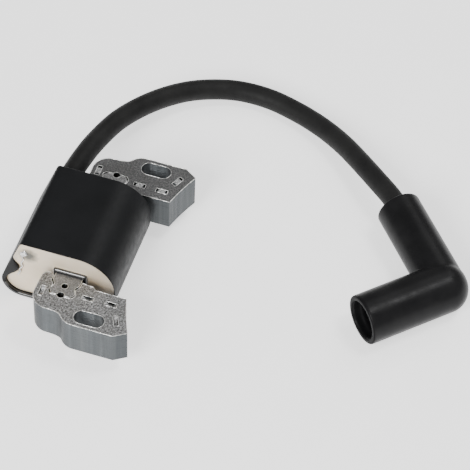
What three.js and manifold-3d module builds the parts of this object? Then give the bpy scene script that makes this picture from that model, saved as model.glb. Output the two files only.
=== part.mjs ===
// Ignition coil of a small engine. Two laminated legs bolt beside the flywheel and face it with their poles.
// A laminated bar joins them through a potted coil, and a spark plug lead ends in a rubber elbow boot.
//
// Millimetres. +X runs along the legs towards the flywheel, +Y along the bar, and +Z up through the sheets.
// The origin is on the resting surface, under the middle of the coil without its lead and boot.
// While it is being built, x = 0 is the bar's centre line. The root group then moves it all to the origin.

import * as THREE from "three";
import { mergeVertices } from "three/addons/utils/BufferGeometryUtils.js";
import Module from "manifold-3d";

const wasm = await Module();
wasm.setup();

const { Vector2, Vector3, Shape, Path } = THREE;
const radians = THREE.MathUtils.degToRad;

// ---- Driving dimensions ----

// Clearances between pieces.
const TOUCH_GAP = 0.3; // pieces that touch on the real object
const NEST_GAP = 0.2; // one winding layer round the next

// Laminated stack: legs and bar.
const SHEET_THICKNESS = 0.5;
const SHEET_COUNT = 25;
const STACK = SHEET_THICKNESS * SHEET_COUNT;

// Mounting slots, for a 5 mm screw, 64 mm apart.
const SLOT_SPACING = 64;
const SLOT_X = 11.5;
const SLOT_LENGTH = 10;
const SLOT_WIDTH = 5.1;

// Legs. Their outline is set out from the slot's centre line, so "out" counts away from the coil.
const LEG_INNER = 11.2; // slot centre line to the edge that faces the coil
const LEG_OUTER = 3.8; // slot centre line to the outer edge
const LEG_STEP_X = 9.7; // small step in the inner edge
const LEG_STEP = 1.0;
const LEG_STEP_RUN = 1.0; // how far along the leg the step takes
const CROTCH_IN = 0.4; // hollow between the prong and the inner edge, in from the bar's side
const CROTCH_OUT = 0.75; // and out from the prong's tip
const LOBE_X = -2.95; // round lobe behind the bar
const LOBE_OUT = -5.25;
const LOBE_RADIUS = 5.5;
const SHOULDER_X = 7.15; // round shoulder where the leg narrows behind the slot
const SHOULDER_RADIUS = 5.5;
const SHOULDER_ARC = 55;
const WAIST_X = 1.81; // the hollow between shoulder and lobe is steepest here
const PRONG_LENGTH = 7.45; // from the bar's end back towards the coil
const PRONG_WIDTH = 3.9;
const TIP_CHAMFER_X = 4;
const TIP_CHAMFER_OUT = 2.6;

// Pole faces lie on one circle round the flywheel's shaft.
const FLYWHEEL_RADIUS = 77;
const POLE_TIP_X = 24.55;

// Core bar, with a waisted tail at each end.
const BAR_WIDTH = 8.8;
const BAR_END_OUT = -6; // bar's end, from the slot's centre line
const TAIL_WAIST_WIDTH = 6.8;
const TAIL_HEAD_WIDTH = 8.1;
const TAIL_WAIST_BACK = 3.7; // bar's end to the waist
const TAIL_HEAD_BACK = 1.4;
const TAIL_HEAD_CORNER = 0.9; // corners taken off the head's end
const TAIL_SHOULDER_BACK = 5.3;
const BAR_HOLE_BACK = 3.7;
const BAR_HOLE_DIAMETER = 2.2;
const PINCH_HOLE_DIAMETER = 2.4; // punched half in the bar and half in the leg

// Interlocks that hold the sheets together.
const INTERLOCK_LENGTH = 4;
const INTERLOCK_WIDTH = 1.6;
const INTERLOCK_DEPTH = 0.9;
const INTERLOCK_FLAT = 0.3; // share of the length that is flat at the bottom
const INTERLOCKS = [
  { x: -6.2, out: -5.9, turn: 90 },
  { x: 8.4, out: -7.5, turn: 0 },
  { x: 16.0, out: -7.6, turn: 0 },
  { x: 19.6, out: -2.1, turn: 65 },
];

// Bobbins and windings, each a rounded rectangle round the last.
const TUBE_WALL = 0.9;
const TUBE_CORNER = 0.8;
const LAYER_ROUNDING = 1.26; // each layer's corners are this much rounder than parallel ones
const TUBE_STAND = 0.7; // how far the tube stands out of the case
const PRONG_CLEARANCE = 0.55; // tube's end to the legs' prongs
const PRIMARY_DEPTH = 0.9;
const PRIMARY_FLANGE = 0.8;
const SECONDARY_WALL = 0.5;
const SECONDARY_DEPTH = 1.1;
const SECTION_COUNT = 5;
const SECTION_RIB = 0.8;

// Coil case: flat above and below, rounded in front of the bar, with a leaning back wall.
const CASE_WALL = 1.2;
const CASE_RISE = 8.4; // stack's top face to the case's top
const CASE_FRONT_ROOM = 4.85; // windings to the front wall
const CASE_BACK_ROOM = 7.85; // windings to the back wall's upper corner
const CASE_BACK_LEAN = 20.2; // degrees from upright
const CASE_CROWN_RADIUS = 12;
const CASE_KEEL_RADIUS = 11.5;
const CASE_FOOT_RADIUS = 6.5;
const CASE_BROW_RADIUS = 1.4;
const CASE_LEAST_RADIUS = 0.3; // no inner corner is sharper
const CASE_RIB_WIDTH = 2.6; // rib inside the back wall, at the open end
const CASE_RIB_HEIGHT = 12;
const CASE_RIB_FOOT = 7.5; // resting surface to the rib's foot
const CASE_RIB_LENGTH = 2.4;
const RESIN_RECESS = 0.8; // rim to the resin's face
const RESIN_COVER = 3.6; // resin over the near end of the windings
const WINDING_END_ROOM = 4; // far end of the windings to the far wall

// Trigger board in the foot of the case, under the lead.
const BOARD_WIDTH = 8.8;
const BOARD_THICKNESS = 1;
const BOARD_ROOM = 2; // windings to the board's edge
const BOARD_END_ROOM = 2.4;
const BOARD_LIFT = 1.4; // case's floor to the board
const TRANSISTOR_WIDTH = 7;
const TRANSISTOR_LENGTH = 9.5;
const TRANSISTOR_HEIGHT = 2.7;
const TRIGGER_COIL_LENGTH = 6;
const TRIGGER_COIL_RADIUS = 2.7;
const RESISTOR_LENGTH = 5.6;
const RESISTOR_RADIUS = 1.1;
const DIODE_LENGTH = 4.4;
const DIODE_RADIUS = 0.9;
const BOARD_SPACING = 0.9; // one part on the board to the next
const POCKET_ROOM = 0.5; // tallest part on the board to the resin
const LINK_RADIUS = 0.35;
const LINK_RISE = 3.5; // high-tension link above the bar's axis

// Stop terminal in the resin's face, beside the back wall.
const STOP_PIN_DROP = 5; // case's top to the pin
const STOP_PIN_RADIUS = 0.45;
const STOP_PIN_LENGTH = 4.5;
const STOP_PIN_STAND = 1.1; // how far it stands out of the resin
const SOLDER_RADIUS = 1.2;
const SOLDER_LENGTH = 0.7;
const TAIL_RADIUS = 0.25;
const TAIL_DROP = 11;
const TAIL_LEAN = 2.7; // top of the wire to its foot, backwards
const TAIL_BOW = 0.6;

// High-tension lead.
const LEAD_DIAMETER = 7;
const LEAD_SIDES = 12;
const LEAD_STEP = 4;
const CONDUCTOR_DIAMETER = 1.8;
const CONDUCTOR_SIDES = 8;
const LEAD_WEB = 2.55; // resin between the windings and the lead
const LEAD_RISE = 4.25; // above the bar's axis
const LEAD_SEAT = 7.5; // how far it goes into the case from the far face
const LEAD_STRAIGHT = 3; // level run past the collar
const COLLAR_LENGTH = 1.2;
const COLLAR_WALL = 0.9;
const SPIKE_LENGTH = 2.2;
const SPIKE_RADIUS = 2.2;
const SPIKE_DISC = 0.8;

// Elbow boot. The corner is where the axes of its two arms meet.
const BOOT_CORNER_X = 111.35;
const BOOT_CORNER_Y = 24;
const BOOT_REST_GAP = 0.05;
const ELBOW_ANGLE = 94;
const LEAD_ARM_HEADING = 130.8; // degrees from +X, corner to lead
const LEAD_ARM_RISE = 2;
const LEAD_ARM_LENGTH = 34.5;
const LEAD_ARM_WALL = 3.6;
const LEAD_ARM_TAPER = 0.1;
const PLUG_ARM_LENGTH = 30;
const PLUG_ARM_WALL = 1.95;
const HEEL_LENGTH = 7.6; // corner to the back of the rounded heel
const PLUG_BORE_RADIUS = 6.3;
const PLUG_BORE_LENGTH = 19;
const SPRING_BORE_END = -3; // past the corner
const RIM_ROUND = 0.8;
const BOOT_SIDES = 32;
const CONDUCTOR_STAND = 1.6;
const LEAD_END_ROOM = 1.5; // spring's straight end to the spring's bore
const SPRING_WIRE_RADIUS = 0.6;
const SPRING_RADIUS = 3.9;
const SPRING_CLEARANCE = 0.7;
const SPRING_TURNS = 4;
const SPRING_PITCH = 1.75;
const SPRING_START = 3.5; // corner to the first turn
const SPRING_TAIL = 1.2;
const SPRING_STEP = 1.8;

// ---- Sizes that follow ----

// How far each layer round the bar stands out from the bar's faces.
const TUBE_OUTER = TOUCH_GAP + TUBE_WALL;
const PRIMARY_INNER = TUBE_OUTER + NEST_GAP;
const PRIMARY_OUTER = PRIMARY_INNER + PRIMARY_DEPTH;
const SECONDARY_INNER = PRIMARY_OUTER + NEST_GAP;
const SECONDARY_FLOOR = SECONDARY_INNER + SECONDARY_WALL;
const FINE_INNER = SECONDARY_FLOOR + NEST_GAP;
const FINE_OUTER = FINE_INNER + SECONDARY_DEPTH;

// The case's floor passes under the windings, and the whole coil rests on it.
const STACK_LIFT = CASE_WALL + TOUCH_GAP + FINE_OUTER;
const BAR_Z = STACK_LIFT + STACK / 2;
const LEG_Y = SLOT_SPACING / 2;
const BAR_END_Y = LEG_Y + BAR_END_OUT;
const FLYWHEEL_X =
  POLE_TIP_X + Math.sqrt(FLYWHEEL_RADIUS ** 2 - (LEG_Y + LEG_OUTER - TIP_CHAMFER_OUT) ** 2);

// The tube fills the space between the legs' prongs, and the case is a little shorter.
const TUBE_HALF = BAR_END_Y - PRONG_LENGTH - PRONG_CLEARANCE;
const CASE_HALF = TUBE_HALF - TUBE_STAND;
const WINDING_HALF_WIDTH = BAR_WIDTH / 2 + FINE_OUTER;
const CASE_TOP = STACK_LIFT + STACK + CASE_RISE;
const CASE_FRONT_X = WINDING_HALF_WIDTH + CASE_WALL + CASE_FRONT_ROOM;
const CASE_LEAN = Math.tan(radians(CASE_BACK_LEAN));
const RESIN_FACE_Y = RESIN_RECESS - CASE_HALF;
const RESIN_END_Y = CASE_HALF - CASE_WALL - NEST_GAP;
const WINDING_START_Y = RESIN_FACE_Y + RESIN_COVER;
const WINDING_LENGTH = CASE_HALF - CASE_WALL - WINDING_END_ROOM - WINDING_START_Y;

// x of the back wall's face at height z, moved forwards by inset.
function backWallX(z, inset) {
  const face = -WINDING_HALF_WIDTH - CASE_BACK_ROOM - (CASE_TOP - z) * CASE_LEAN;
  return face + inset / Math.cos(radians(CASE_BACK_LEAN));
}

const BOARD_X = -WINDING_HALF_WIDTH - BOARD_ROOM - BOARD_WIDTH / 2;
const BOARD_Z = CASE_WALL + BOARD_LIFT;
const BOARD_TOP = BOARD_Z + BOARD_THICKNESS;
const BOARD_START_Y = WINDING_START_Y + BOARD_END_ROOM;
const BOARD_END_Y = RESIN_END_Y - BOARD_END_ROOM;

const LEAD_X = -WINDING_HALF_WIDTH - LEAD_WEB - LEAD_DIAMETER / 2;
const LEAD_Z = BAR_Z + LEAD_RISE;
const LEAD_BORE_RADIUS = LEAD_DIAMETER / 2 + TOUCH_GAP;
const LEAD_START_Y = CASE_HALF - LEAD_SEAT;
const SPIKE_Y = LEAD_START_Y - TOUCH_GAP - SPIKE_LENGTH;

const STOP_PIN_Y = RESIN_FACE_Y - STOP_PIN_STAND;
const STOP_PIN_Z = CASE_TOP - STOP_PIN_DROP;
const STOP_PIN_X = backWallX(STOP_PIN_Z, CASE_WALL + NEST_GAP + SOLDER_RADIUS);

const PLUG_ARM_RADIUS = PLUG_BORE_RADIUS + PLUG_ARM_WALL;
const LEAD_ARM_TIP_RADIUS = LEAD_BORE_RADIUS + LEAD_ARM_WALL;
const LEAD_ARM_ROOT_RADIUS = LEAD_ARM_TIP_RADIUS + LEAD_ARM_TAPER;
const SPRING_BORE_RADIUS = SPRING_RADIUS + SPRING_WIRE_RADIUS + SPRING_CLEARANCE;
const LEAD_END = SPRING_BORE_RADIUS + CONDUCTOR_STAND + SPRING_TAIL + LEAD_END_ROOM; // from the boot's corner

// ---- Points and solids ----

function arc(x, y, radius, fromDegrees, toDegrees, steps) {
  const points = [];
  for (let i = 0; i <= steps; i++) {
    const a = radians(fromDegrees + ((toDegrees - fromDegrees) * i) / steps);
    points.push(new Vector2(x + radius * Math.cos(a), y + radius * Math.sin(a)));
  }
  return points;
}

// A corner rounded by an arc that touches both of its sides.
function roundedCorner(before, corner, after, radius, steps) {
  const back = before.clone().sub(corner).normalize();
  const on = after.clone().sub(corner).normalize();
  const half = Math.acos(back.dot(on)) / 2;
  const centre = back.clone().add(on).setLength(radius / Math.sin(half)).add(corner);
  const start = back.clone().multiplyScalar(radius / Math.tan(half)).add(corner).sub(centre);
  const turn = (Math.PI - 2 * half) * Math.sign(back.cross(on));
  const points = [];
  for (let i = 0; i <= steps; i++) {
    points.push(start.clone().rotateAround(new Vector2(), (-turn * i) / steps).add(centre));
  }
  return points;
}

function curve(from, control, to, steps) {
  return new THREE.QuadraticBezierCurve(from, control, to).getPoints(steps);
}

function roundedRectangle(x, y, halfWidth, halfHeight, radius, steps = 4) {
  return [
    ...arc(x + halfWidth - radius, y + halfHeight - radius, radius, 0, 90, steps),
    ...arc(x - halfWidth + radius, y + halfHeight - radius, radius, 90, 180, steps),
    ...arc(x - halfWidth + radius, y - halfHeight + radius, radius, 180, 270, steps),
    ...arc(x + halfWidth - radius, y - halfHeight + radius, radius, 270, 360, steps),
  ];
}

function withoutRepeats(points) {
  return points.filter((p, i) => p.distanceTo(points[(i + points.length - 1) % points.length]) > 1e-3);
}

// A closed geometry as a solid for joining and cutting.
function solid(geometry) {
  const bare = geometry.clone();
  bare.deleteAttribute("normal");
  bare.deleteAttribute("uv");
  const merged = mergeVertices(bare, 1e-4);
  const vertProperties = merged.attributes.position.array;
  const triVerts = new Uint32Array(merged.index.array);
  return new wasm.Manifold(new wasm.Mesh({ numProp: 3, vertProperties, triVerts }));
}

function geometryOf(body) {
  const { vertProperties, triVerts } = body.getMesh();
  const geometry = new THREE.BufferGeometry();
  geometry.setAttribute("position", new THREE.BufferAttribute(vertProperties, 3));
  geometry.setIndex(new THREE.BufferAttribute(triVerts, 1));
  geometry.computeVertexNormals();
  return geometry;
}

function flatExtrusion(points, depth) {
  const shape = new Shape(withoutRepeats(points));
  return new THREE.ExtrudeGeometry(shape, { depth, bevelEnabled: false });
}

// Points are (x, y), raised from z to z + height.
function raised(points, z, height) {
  return solid(flatExtrusion(points, height).translate(0, 0, z));
}

// Points are (x, z), drawn out along Y from y to y + length.
function drawn(points, y, length) {
  const geometry = flatExtrusion(points, length).rotateX(Math.PI / 2);
  return solid(geometry.translate(0, y + length, 0));
}

// Profile points are (radius, distance along the axis), from the axis round to the axis again.
function turned(profile, sides) {
  return new THREE.LatheGeometry(profile.map(([r, h]) => new Vector2(r, h)), sides);
}

function rod(radius, length, sides) {
  return turned([[0, 0], [radius, 0], [radius, length], [0, length]], sides);
}

function circle(radius, sides) {
  return arc(0, 0, radius, 0, 360 - 360 / sides, sides - 1);
}

// A section drawn along a smooth path through the points.
function swept(section, points, step) {
  const extrudePath = new THREE.CatmullRomCurve3(points, false, "centripetal");
  const steps = Math.ceil(extrudePath.getLength() / step);
  return new THREE.ExtrudeGeometry(section, { steps, bevelEnabled: false, extrudePath });
}

function wire(points, radius, sides = 6, step = 8 * radius) {
  return swept(new Shape(circle(radius, sides)), points, step);
}

// ---- Materials ----

function material(color, roughness, metalness = 0) {
  return new THREE.MeshStandardMaterial({ color, roughness, metalness });
}

const steel = material(0xa3a5a5, 0.45, 0.9);
const caseBlack = material(0x17191a, 0.35);
const resinIvory = material(0xd8d0c2, 0.5);
const bobbinBlack = material(0x101112, 0.3);
const copper = material(0xb0653a, 0.35, 0.9);
const boardGreen = material(0x2d5a3c, 0.5);
const componentBlack = material(0x1c1c1e, 0.5);
const componentTan = material(0xb79b72, 0.5);
const solderBright = material(0xd9dadb, 0.2, 1);
const springSteel = material(0xb9bcbe, 0.25, 1);
const leadRubber = material(0x25272a, 0.75);
const bootRubber = material(0x1a1b1c, 0.6);

const coil = new THREE.Group();

function addPiece(name, geometry, look, parent = coil) {
  const mesh = new THREE.Mesh(geometry, look);
  mesh.name = name;
  parent.add(mesh);
  return mesh;
}

// ---- Laminated core ----

// Outline of the bar, grown by a clearance. Its tails narrow to a waist and widen to a head.
function barOutline(grow) {
  const tail = (side) => {
    const half = BAR_WIDTH / 2 + grow;
    const waist = TAIL_WAIST_WIDTH / 2 + grow;
    const head = TAIL_HEAD_WIDTH / 2 + grow;
    const at = (x, back) => new Vector2(x, BAR_END_Y + grow - back);
    const right = new THREE.SplineCurve([
      at(half, TAIL_SHOULDER_BACK),
      at((half + waist) / 2, (TAIL_SHOULDER_BACK + TAIL_WAIST_BACK) / 2),
      at(waist, TAIL_WAIST_BACK),
      at(head, TAIL_HEAD_BACK),
      at(head - TAIL_HEAD_CORNER, 0),
    ]).getPoints(14);
    const left = right.map((p) => new Vector2(-p.x, p.y)).reverse();
    const points = [...right, ...left];
    return side > 0 ? points : points.map((p) => new Vector2(-p.x, -p.y));
  };
  return [...tail(1), ...tail(-1)];
}

// Outline of a leg, as (x, out from the slot's centre line).
function legOutline() {
  const prongTip = BAR_END_OUT - PRONG_LENGTH;
  const prongRadius = PRONG_WIDTH / 2;
  const prongX = -BAR_WIDTH / 2 - prongRadius;
  const shoulderY = LEG_OUTER - SHOULDER_RADIUS;
  const shoulder = arc(SHOULDER_X, shoulderY, SHOULDER_RADIUS, 90, 90 + SHOULDER_ARC, 6);
  const lobe = arc(LOBE_X, LOBE_OUT, LOBE_RADIUS, 90, 180, 8);
  const hollow = curve(shoulder.at(-1), new Vector2(WAIST_X, lobe[0].y), lobe[0], 6);
  const poleEnd = LEG_OUTER - TIP_CHAMFER_OUT;
  const pole = [];
  const poleSteps = 6;
  for (let i = 0; i <= poleSteps; i++) {
    const out = -LEG_INNER + ((poleEnd + LEG_INNER) * i) / poleSteps;
    pole.push(new Vector2(FLYWHEEL_X - Math.sqrt(FLYWHEEL_RADIUS ** 2 - (LEG_Y + out) ** 2), out));
  }
  return [
    new Vector2(0, prongTip + prongRadius),
    new Vector2(BAR_WIDTH / 2 - CROTCH_IN, prongTip + CROTCH_OUT),
    new Vector2(LEG_STEP_X - LEG_STEP_RUN, -LEG_INNER - LEG_STEP),
    new Vector2(LEG_STEP_X, -LEG_INNER),
    ...pole,
    new Vector2(POLE_TIP_X - TIP_CHAMFER_X, LEG_OUTER),
    ...shoulder,
    ...hollow,
    ...lobe,
    ...arc(prongX, prongTip + prongRadius, prongRadius, 180, 360, 8),
  ];
}

function placedOnSide(points, side) {
  return points.map((p) => new Vector2(p.x, side * (LEG_Y + p.y)));
}

function slotOutline(side) {
  const y = side * LEG_Y;
  return roundedRectangle(SLOT_X, y, SLOT_LENGTH / 2, SLOT_WIDTH / 2, SLOT_WIDTH / 2 - 0.01, 6);
}

function hole(x, y, diameter) {
  return raised(arc(x, y, diameter / 2, 0, 345, 23), STACK_LIFT - 1, STACK + 2);
}

// A V-shaped dimple, as deep as two sheets, sunk into the face whose outward direction is facing.
function interlock({ x, out, turn }, side, facing) {
  const half = INTERLOCK_LENGTH / 2;
  const flat = half * INTERLOCK_FLAT;
  const proud = 0.3;
  const profile = [
    [-half - proud, proud],
    [half + proud, proud],
    [flat, -INTERLOCK_DEPTH],
    [-flat, -INTERLOCK_DEPTH],
  ];
  const points = profile.map(([along, up]) => new Vector2(along, up * facing));
  const geometry = flatExtrusion(points, INTERLOCK_WIDTH).translate(0, 0, -INTERLOCK_WIDTH / 2);
  geometry.rotateX(Math.PI / 2);
  geometry.rotateZ(radians(turn * side));
  const face = facing > 0 ? STACK_LIFT + STACK : STACK_LIFT;
  return solid(geometry.translate(x, side * (LEG_Y + out), face));
}

// Both legs are the same stack. The far one is turned over, so its dimples are underneath.
function leg(side) {
  let body = raised(placedOnSide(legOutline(), side), STACK_LIFT, STACK);
  body = body.subtract(raised(barOutline(TOUCH_GAP), STACK_LIFT - 1, STACK + 2));
  body = body.subtract(raised(slotOutline(side), STACK_LIFT - 1, STACK + 2));
  body = body.subtract(hole(0, side * BAR_END_Y, PINCH_HOLE_DIAMETER));
  for (const lock of INTERLOCKS) {
    body = body.subtract(interlock(lock, side, -side));
  }
  return body;
}

function bar() {
  let body = raised(barOutline(0), STACK_LIFT, STACK);
  for (const side of [-1, 1]) {
    body = body.subtract(hole(0, side * BAR_END_Y, PINCH_HOLE_DIAMETER));
    body = body.subtract(hole(0, side * (BAR_END_Y - BAR_HOLE_BACK), BAR_HOLE_DIAMETER));
  }
  return body;
}

addPiece("near_pole_leg", geometryOf(leg(-1)), steel);
addPiece("far_pole_leg", geometryOf(leg(1)), steel);
addPiece("core_bar", geometryOf(bar()), steel);

// ---- Coil case and resin ----

// Section of the case in (x, z), with every wall moved inwards by inset.
function caseSection(inset) {
  const top = CASE_TOP - inset;
  const front = CASE_FRONT_X - inset;
  const brow = new Vector2(backWallX(top, inset), top);
  const crown = new Vector2(front, top);
  const keel = new Vector2(front, inset);
  const foot = new Vector2(backWallX(inset, inset), inset);
  return [
    ...roundedCorner(foot, brow, crown, Math.max(CASE_BROW_RADIUS - inset, CASE_LEAST_RADIUS), 3),
    ...roundedCorner(brow, crown, keel, CASE_CROWN_RADIUS - inset, 12),
    ...roundedCorner(crown, keel, foot, CASE_KEEL_RADIUS - inset, 10),
    ...roundedCorner(keel, foot, brow, CASE_FOOT_RADIUS - inset, 6),
  ];
}

// Section of a bobbin or a winding: the bar's section grown by a distance on every side.
function layer(grow, corner = layerCorner(grow)) {
  return roundedRectangle(0, BAR_Z, BAR_WIDTH / 2 + grow, STACK / 2 + grow, corner);
}

function layerCorner(grow) {
  return TUBE_CORNER + (grow - TUBE_OUTER) * LAYER_ROUNDING;
}

// A round bar along +Y from y to y + length.
function barAlongY(x, y, z, radius, length, sides = 24) {
  return solid(rod(radius, length, sides).translate(x, y, z));
}

// The hole that the bobbin's tube passes through.
function tunnel(y, length) {
  return drawn(layer(TUBE_OUTER + TOUCH_GAP), y, length);
}

function coilCase() {
  const inside = CASE_HALF - CASE_WALL;
  const farLength = CASE_WALL + COLLAR_LENGTH;
  let body = drawn(caseSection(0), -CASE_HALF, 2 * CASE_HALF);
  body = body.add(barAlongY(LEAD_X, inside, LEAD_Z, LEAD_BORE_RADIUS + COLLAR_WALL, farLength));
  body = body.subtract(drawn(caseSection(CASE_WALL), -CASE_HALF - 1, inside + CASE_HALF + 1));
  body = body.add(backRib(0));
  body = body.subtract(tunnel(inside - 1, CASE_WALL + 2));
  return body.subtract(barAlongY(LEAD_X, inside - 1, LEAD_Z, LEAD_BORE_RADIUS, farLength + 2));
}

// Rib inside the back wall, at the open end. Grown, it is the notch that the resin leaves for it.
function backRib(grow) {
  const low = CASE_RIB_FOOT - grow;
  const high = CASE_RIB_FOOT + CASE_RIB_HEIGHT + grow;
  const middle = (low + high) / 2;
  const inMiddle = CASE_WALL + CASE_RIB_WIDTH + grow;
  const points = [
    new Vector2(backWallX(low, CASE_WALL / 2), low),
    new Vector2(backWallX(middle, inMiddle), middle),
    new Vector2(backWallX(middle, inMiddle), middle + CASE_RIB_HEIGHT / 8),
    new Vector2(backWallX(high, CASE_WALL / 2), high),
  ];
  return drawn(points, -CASE_HALF, CASE_RIB_LENGTH + grow);
}

// One pour round everything inside. The windings' and the board's hollows open at the case's far wall.
function resin() {
  const past = RESIN_END_Y + 1;
  const hollowStart = WINDING_START_Y - TOUCH_GAP;
  const boardStart = BOARD_START_Y - TOUCH_GAP;
  const leadStart = SPIKE_Y - TOUCH_GAP;
  const pinHole = STOP_PIN_RADIUS + NEST_GAP;
  let body = drawn(caseSection(CASE_WALL + NEST_GAP), RESIN_FACE_Y, RESIN_END_Y - RESIN_FACE_Y);
  body = body.subtract(tunnel(RESIN_FACE_Y - 1, RESIN_COVER + 2));
  body = body.subtract(drawn(layer(FINE_OUTER + TOUCH_GAP), hollowStart, past - hollowStart));
  body = body.subtract(drawn(boardPocket(), boardStart, past - boardStart));
  body = body.subtract(barAlongY(LEAD_X, leadStart, LEAD_Z, LEAD_BORE_RADIUS, past - leadStart));
  body = body.subtract(
    barAlongY(STOP_PIN_X, STOP_PIN_Y, STOP_PIN_Z, pinHole, STOP_PIN_LENGTH + TOUCH_GAP, 12),
  );
  body = body.subtract(solid(linkRod(LINK_RADIUS + NEST_GAP, 1)));
  return body.subtract(backRib(TOUCH_GAP));
}

// Straight along X, from beside the last fine winding to the lead terminal's disc.
function linkRod(radius, longer) {
  const start = LEAD_X + SPIKE_RADIUS + TOUCH_GAP - longer;
  const end = -WINDING_HALF_WIDTH - TOUCH_GAP + longer;
  const y = SPIKE_Y + SPIKE_DISC / 2;
  return rod(radius, end - start, 8).rotateZ(-Math.PI / 2).translate(start, y, BAR_Z + LINK_RISE);
}

function boardPocket() {
  const halfWidth = BOARD_WIDTH / 2 + TOUCH_GAP;
  const low = BOARD_Z - TOUCH_GAP;
  const high = BOARD_TOP + TOUCH_GAP + 2 * TRIGGER_COIL_RADIUS + POCKET_ROOM;
  return roundedRectangle(BOARD_X, (low + high) / 2, halfWidth, (high - low) / 2, 0.5, 2);
}

addPiece("coil_case", geometryOf(coilCase()), caseBlack);
addPiece("potting_resin", geometryOf(resin()), resinIvory);

// ---- Bobbins and windings ----

function ring(outer, inner, y, length) {
  return drawn(outer, y, length).subtract(drawn(inner, y - 1, length + 2));
}

function primaryBobbin() {
  const flange = layer(PRIMARY_OUTER);
  let body = drawn(layer(TUBE_OUTER), -TUBE_HALF, 2 * TUBE_HALF);
  body = body.add(drawn(flange, WINDING_START_Y, PRIMARY_FLANGE));
  body = body.add(drawn(flange, WINDING_START_Y + WINDING_LENGTH - PRIMARY_FLANGE, PRIMARY_FLANGE));
  return body.subtract(drawn(layer(TOUCH_GAP, TUBE_CORNER / 2), -TUBE_HALF - 1, 2 * TUBE_HALF + 2));
}

function primaryWinding() {
  const margin = PRIMARY_FLANGE + NEST_GAP;
  const length = WINDING_LENGTH - 2 * margin;
  return ring(layer(PRIMARY_OUTER), layer(PRIMARY_INNER), WINDING_START_Y + margin, length);
}

const SECTION_PITCH = (WINDING_LENGTH - SECTION_RIB) / SECTION_COUNT;

function secondaryBobbin() {
  let body = drawn(layer(SECONDARY_FLOOR), WINDING_START_Y, WINDING_LENGTH);
  for (let i = 0; i <= SECTION_COUNT; i++) {
    body = body.add(drawn(layer(FINE_OUTER), WINDING_START_Y + i * SECTION_PITCH, SECTION_RIB));
  }
  return body.subtract(drawn(layer(SECONDARY_INNER), WINDING_START_Y - 1, WINDING_LENGTH + 2));
}

function fineWinding(index) {
  const y = WINDING_START_Y + index * SECTION_PITCH + SECTION_RIB + NEST_GAP;
  return ring(layer(FINE_OUTER), layer(FINE_INNER), y, SECTION_PITCH - SECTION_RIB - 2 * NEST_GAP);
}

addPiece("primary_bobbin", geometryOf(primaryBobbin()), bobbinBlack);
addPiece("primary_winding", geometryOf(primaryWinding()), copper);
addPiece("secondary_bobbin", geometryOf(secondaryBobbin()), resinIvory);
for (let i = 0; i < SECTION_COUNT; i++) {
  addPiece("secondary_winding_" + (i + 1), geometryOf(fineWinding(i)), copper);
}

// ---- Trigger board ----

// Along the board from its near end: trigger coil, resistor, diode and transistor.
const TRIGGER_COIL_Y = BOARD_START_Y + BOARD_SPACING;
const RESISTOR_Y = TRIGGER_COIL_Y + TRIGGER_COIL_LENGTH + BOARD_SPACING + RESISTOR_RADIUS;
const DIODE_Y = RESISTOR_Y + RESISTOR_RADIUS + BOARD_SPACING + DIODE_RADIUS;
const TRANSISTOR_Y = DIODE_Y + DIODE_RADIUS + BOARD_SPACING + TRANSISTOR_LENGTH / 2;

// Axis along X, lying on the board: a barrel with raised ends.
function boardBarrel(length, radius, y) {
  const cap = length * 0.2;
  const neck = radius * 0.85;
  const profile = [[0, 0], [radius, 0], [radius, cap], [neck, cap + 0.2]];
  profile.push([neck, length - cap - 0.2], [radius, length - cap], [radius, length], [0, length]);
  const barrel = turned(profile, 12).rotateZ(-Math.PI / 2);
  return barrel.translate(BOARD_X - length / 2, y, BOARD_TOP + TOUCH_GAP + radius);
}

function board() {
  const middle = (BOARD_START_Y + BOARD_END_Y) / 2;
  const halfLength = (BOARD_END_Y - BOARD_START_Y) / 2;
  const outline = roundedRectangle(BOARD_X, middle, BOARD_WIDTH / 2, halfLength, 0.6, 2);
  return raised(outline, BOARD_Z, BOARD_THICKNESS);
}

function transistor() {
  const halfLength = TRANSISTOR_LENGTH / 2;
  const outline = roundedRectangle(BOARD_X, TRANSISTOR_Y, TRANSISTOR_WIDTH / 2, halfLength, 0.4, 2);
  return raised(outline, BOARD_TOP + TOUCH_GAP, TRANSISTOR_HEIGHT);
}

function triggerCoil() {
  const r = TRIGGER_COIL_RADIUS;
  const cheek = 0.7;
  const waist = r - 0.5;
  const profile = [[0, 0], [r, 0], [r, cheek], [waist, cheek]];
  profile.push([waist, TRIGGER_COIL_LENGTH - cheek], [r, TRIGGER_COIL_LENGTH - cheek]);
  profile.push([r, TRIGGER_COIL_LENGTH], [0, TRIGGER_COIL_LENGTH]);
  return turned(profile, 16).translate(BOARD_X, TRIGGER_COIL_Y, BOARD_TOP + TOUCH_GAP + r);
}

addPiece("circuit_board", geometryOf(board()), boardGreen);
addPiece("switching_transistor", geometryOf(transistor()), componentBlack);
addPiece("trigger_coil", triggerCoil(), copper);
addPiece("board_resistor", boardBarrel(RESISTOR_LENGTH, RESISTOR_RADIUS, RESISTOR_Y), componentTan);
addPiece("board_diode", boardBarrel(DIODE_LENGTH, DIODE_RADIUS, DIODE_Y), componentBlack);

// ---- Terminals and links ----

// A disc with a spike, seated at the end of the lead, whose strands it pierces.
function leadTerminal() {
  const neck = SPIKE_RADIUS / 3;
  const profile = [[0, 0], [SPIKE_RADIUS, 0], [SPIKE_RADIUS, SPIKE_DISC], [neck, SPIKE_DISC]];
  profile.push([0, SPIKE_LENGTH]);
  return turned(profile, 16).translate(LEAD_X, SPIKE_Y, LEAD_Z);
}

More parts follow.
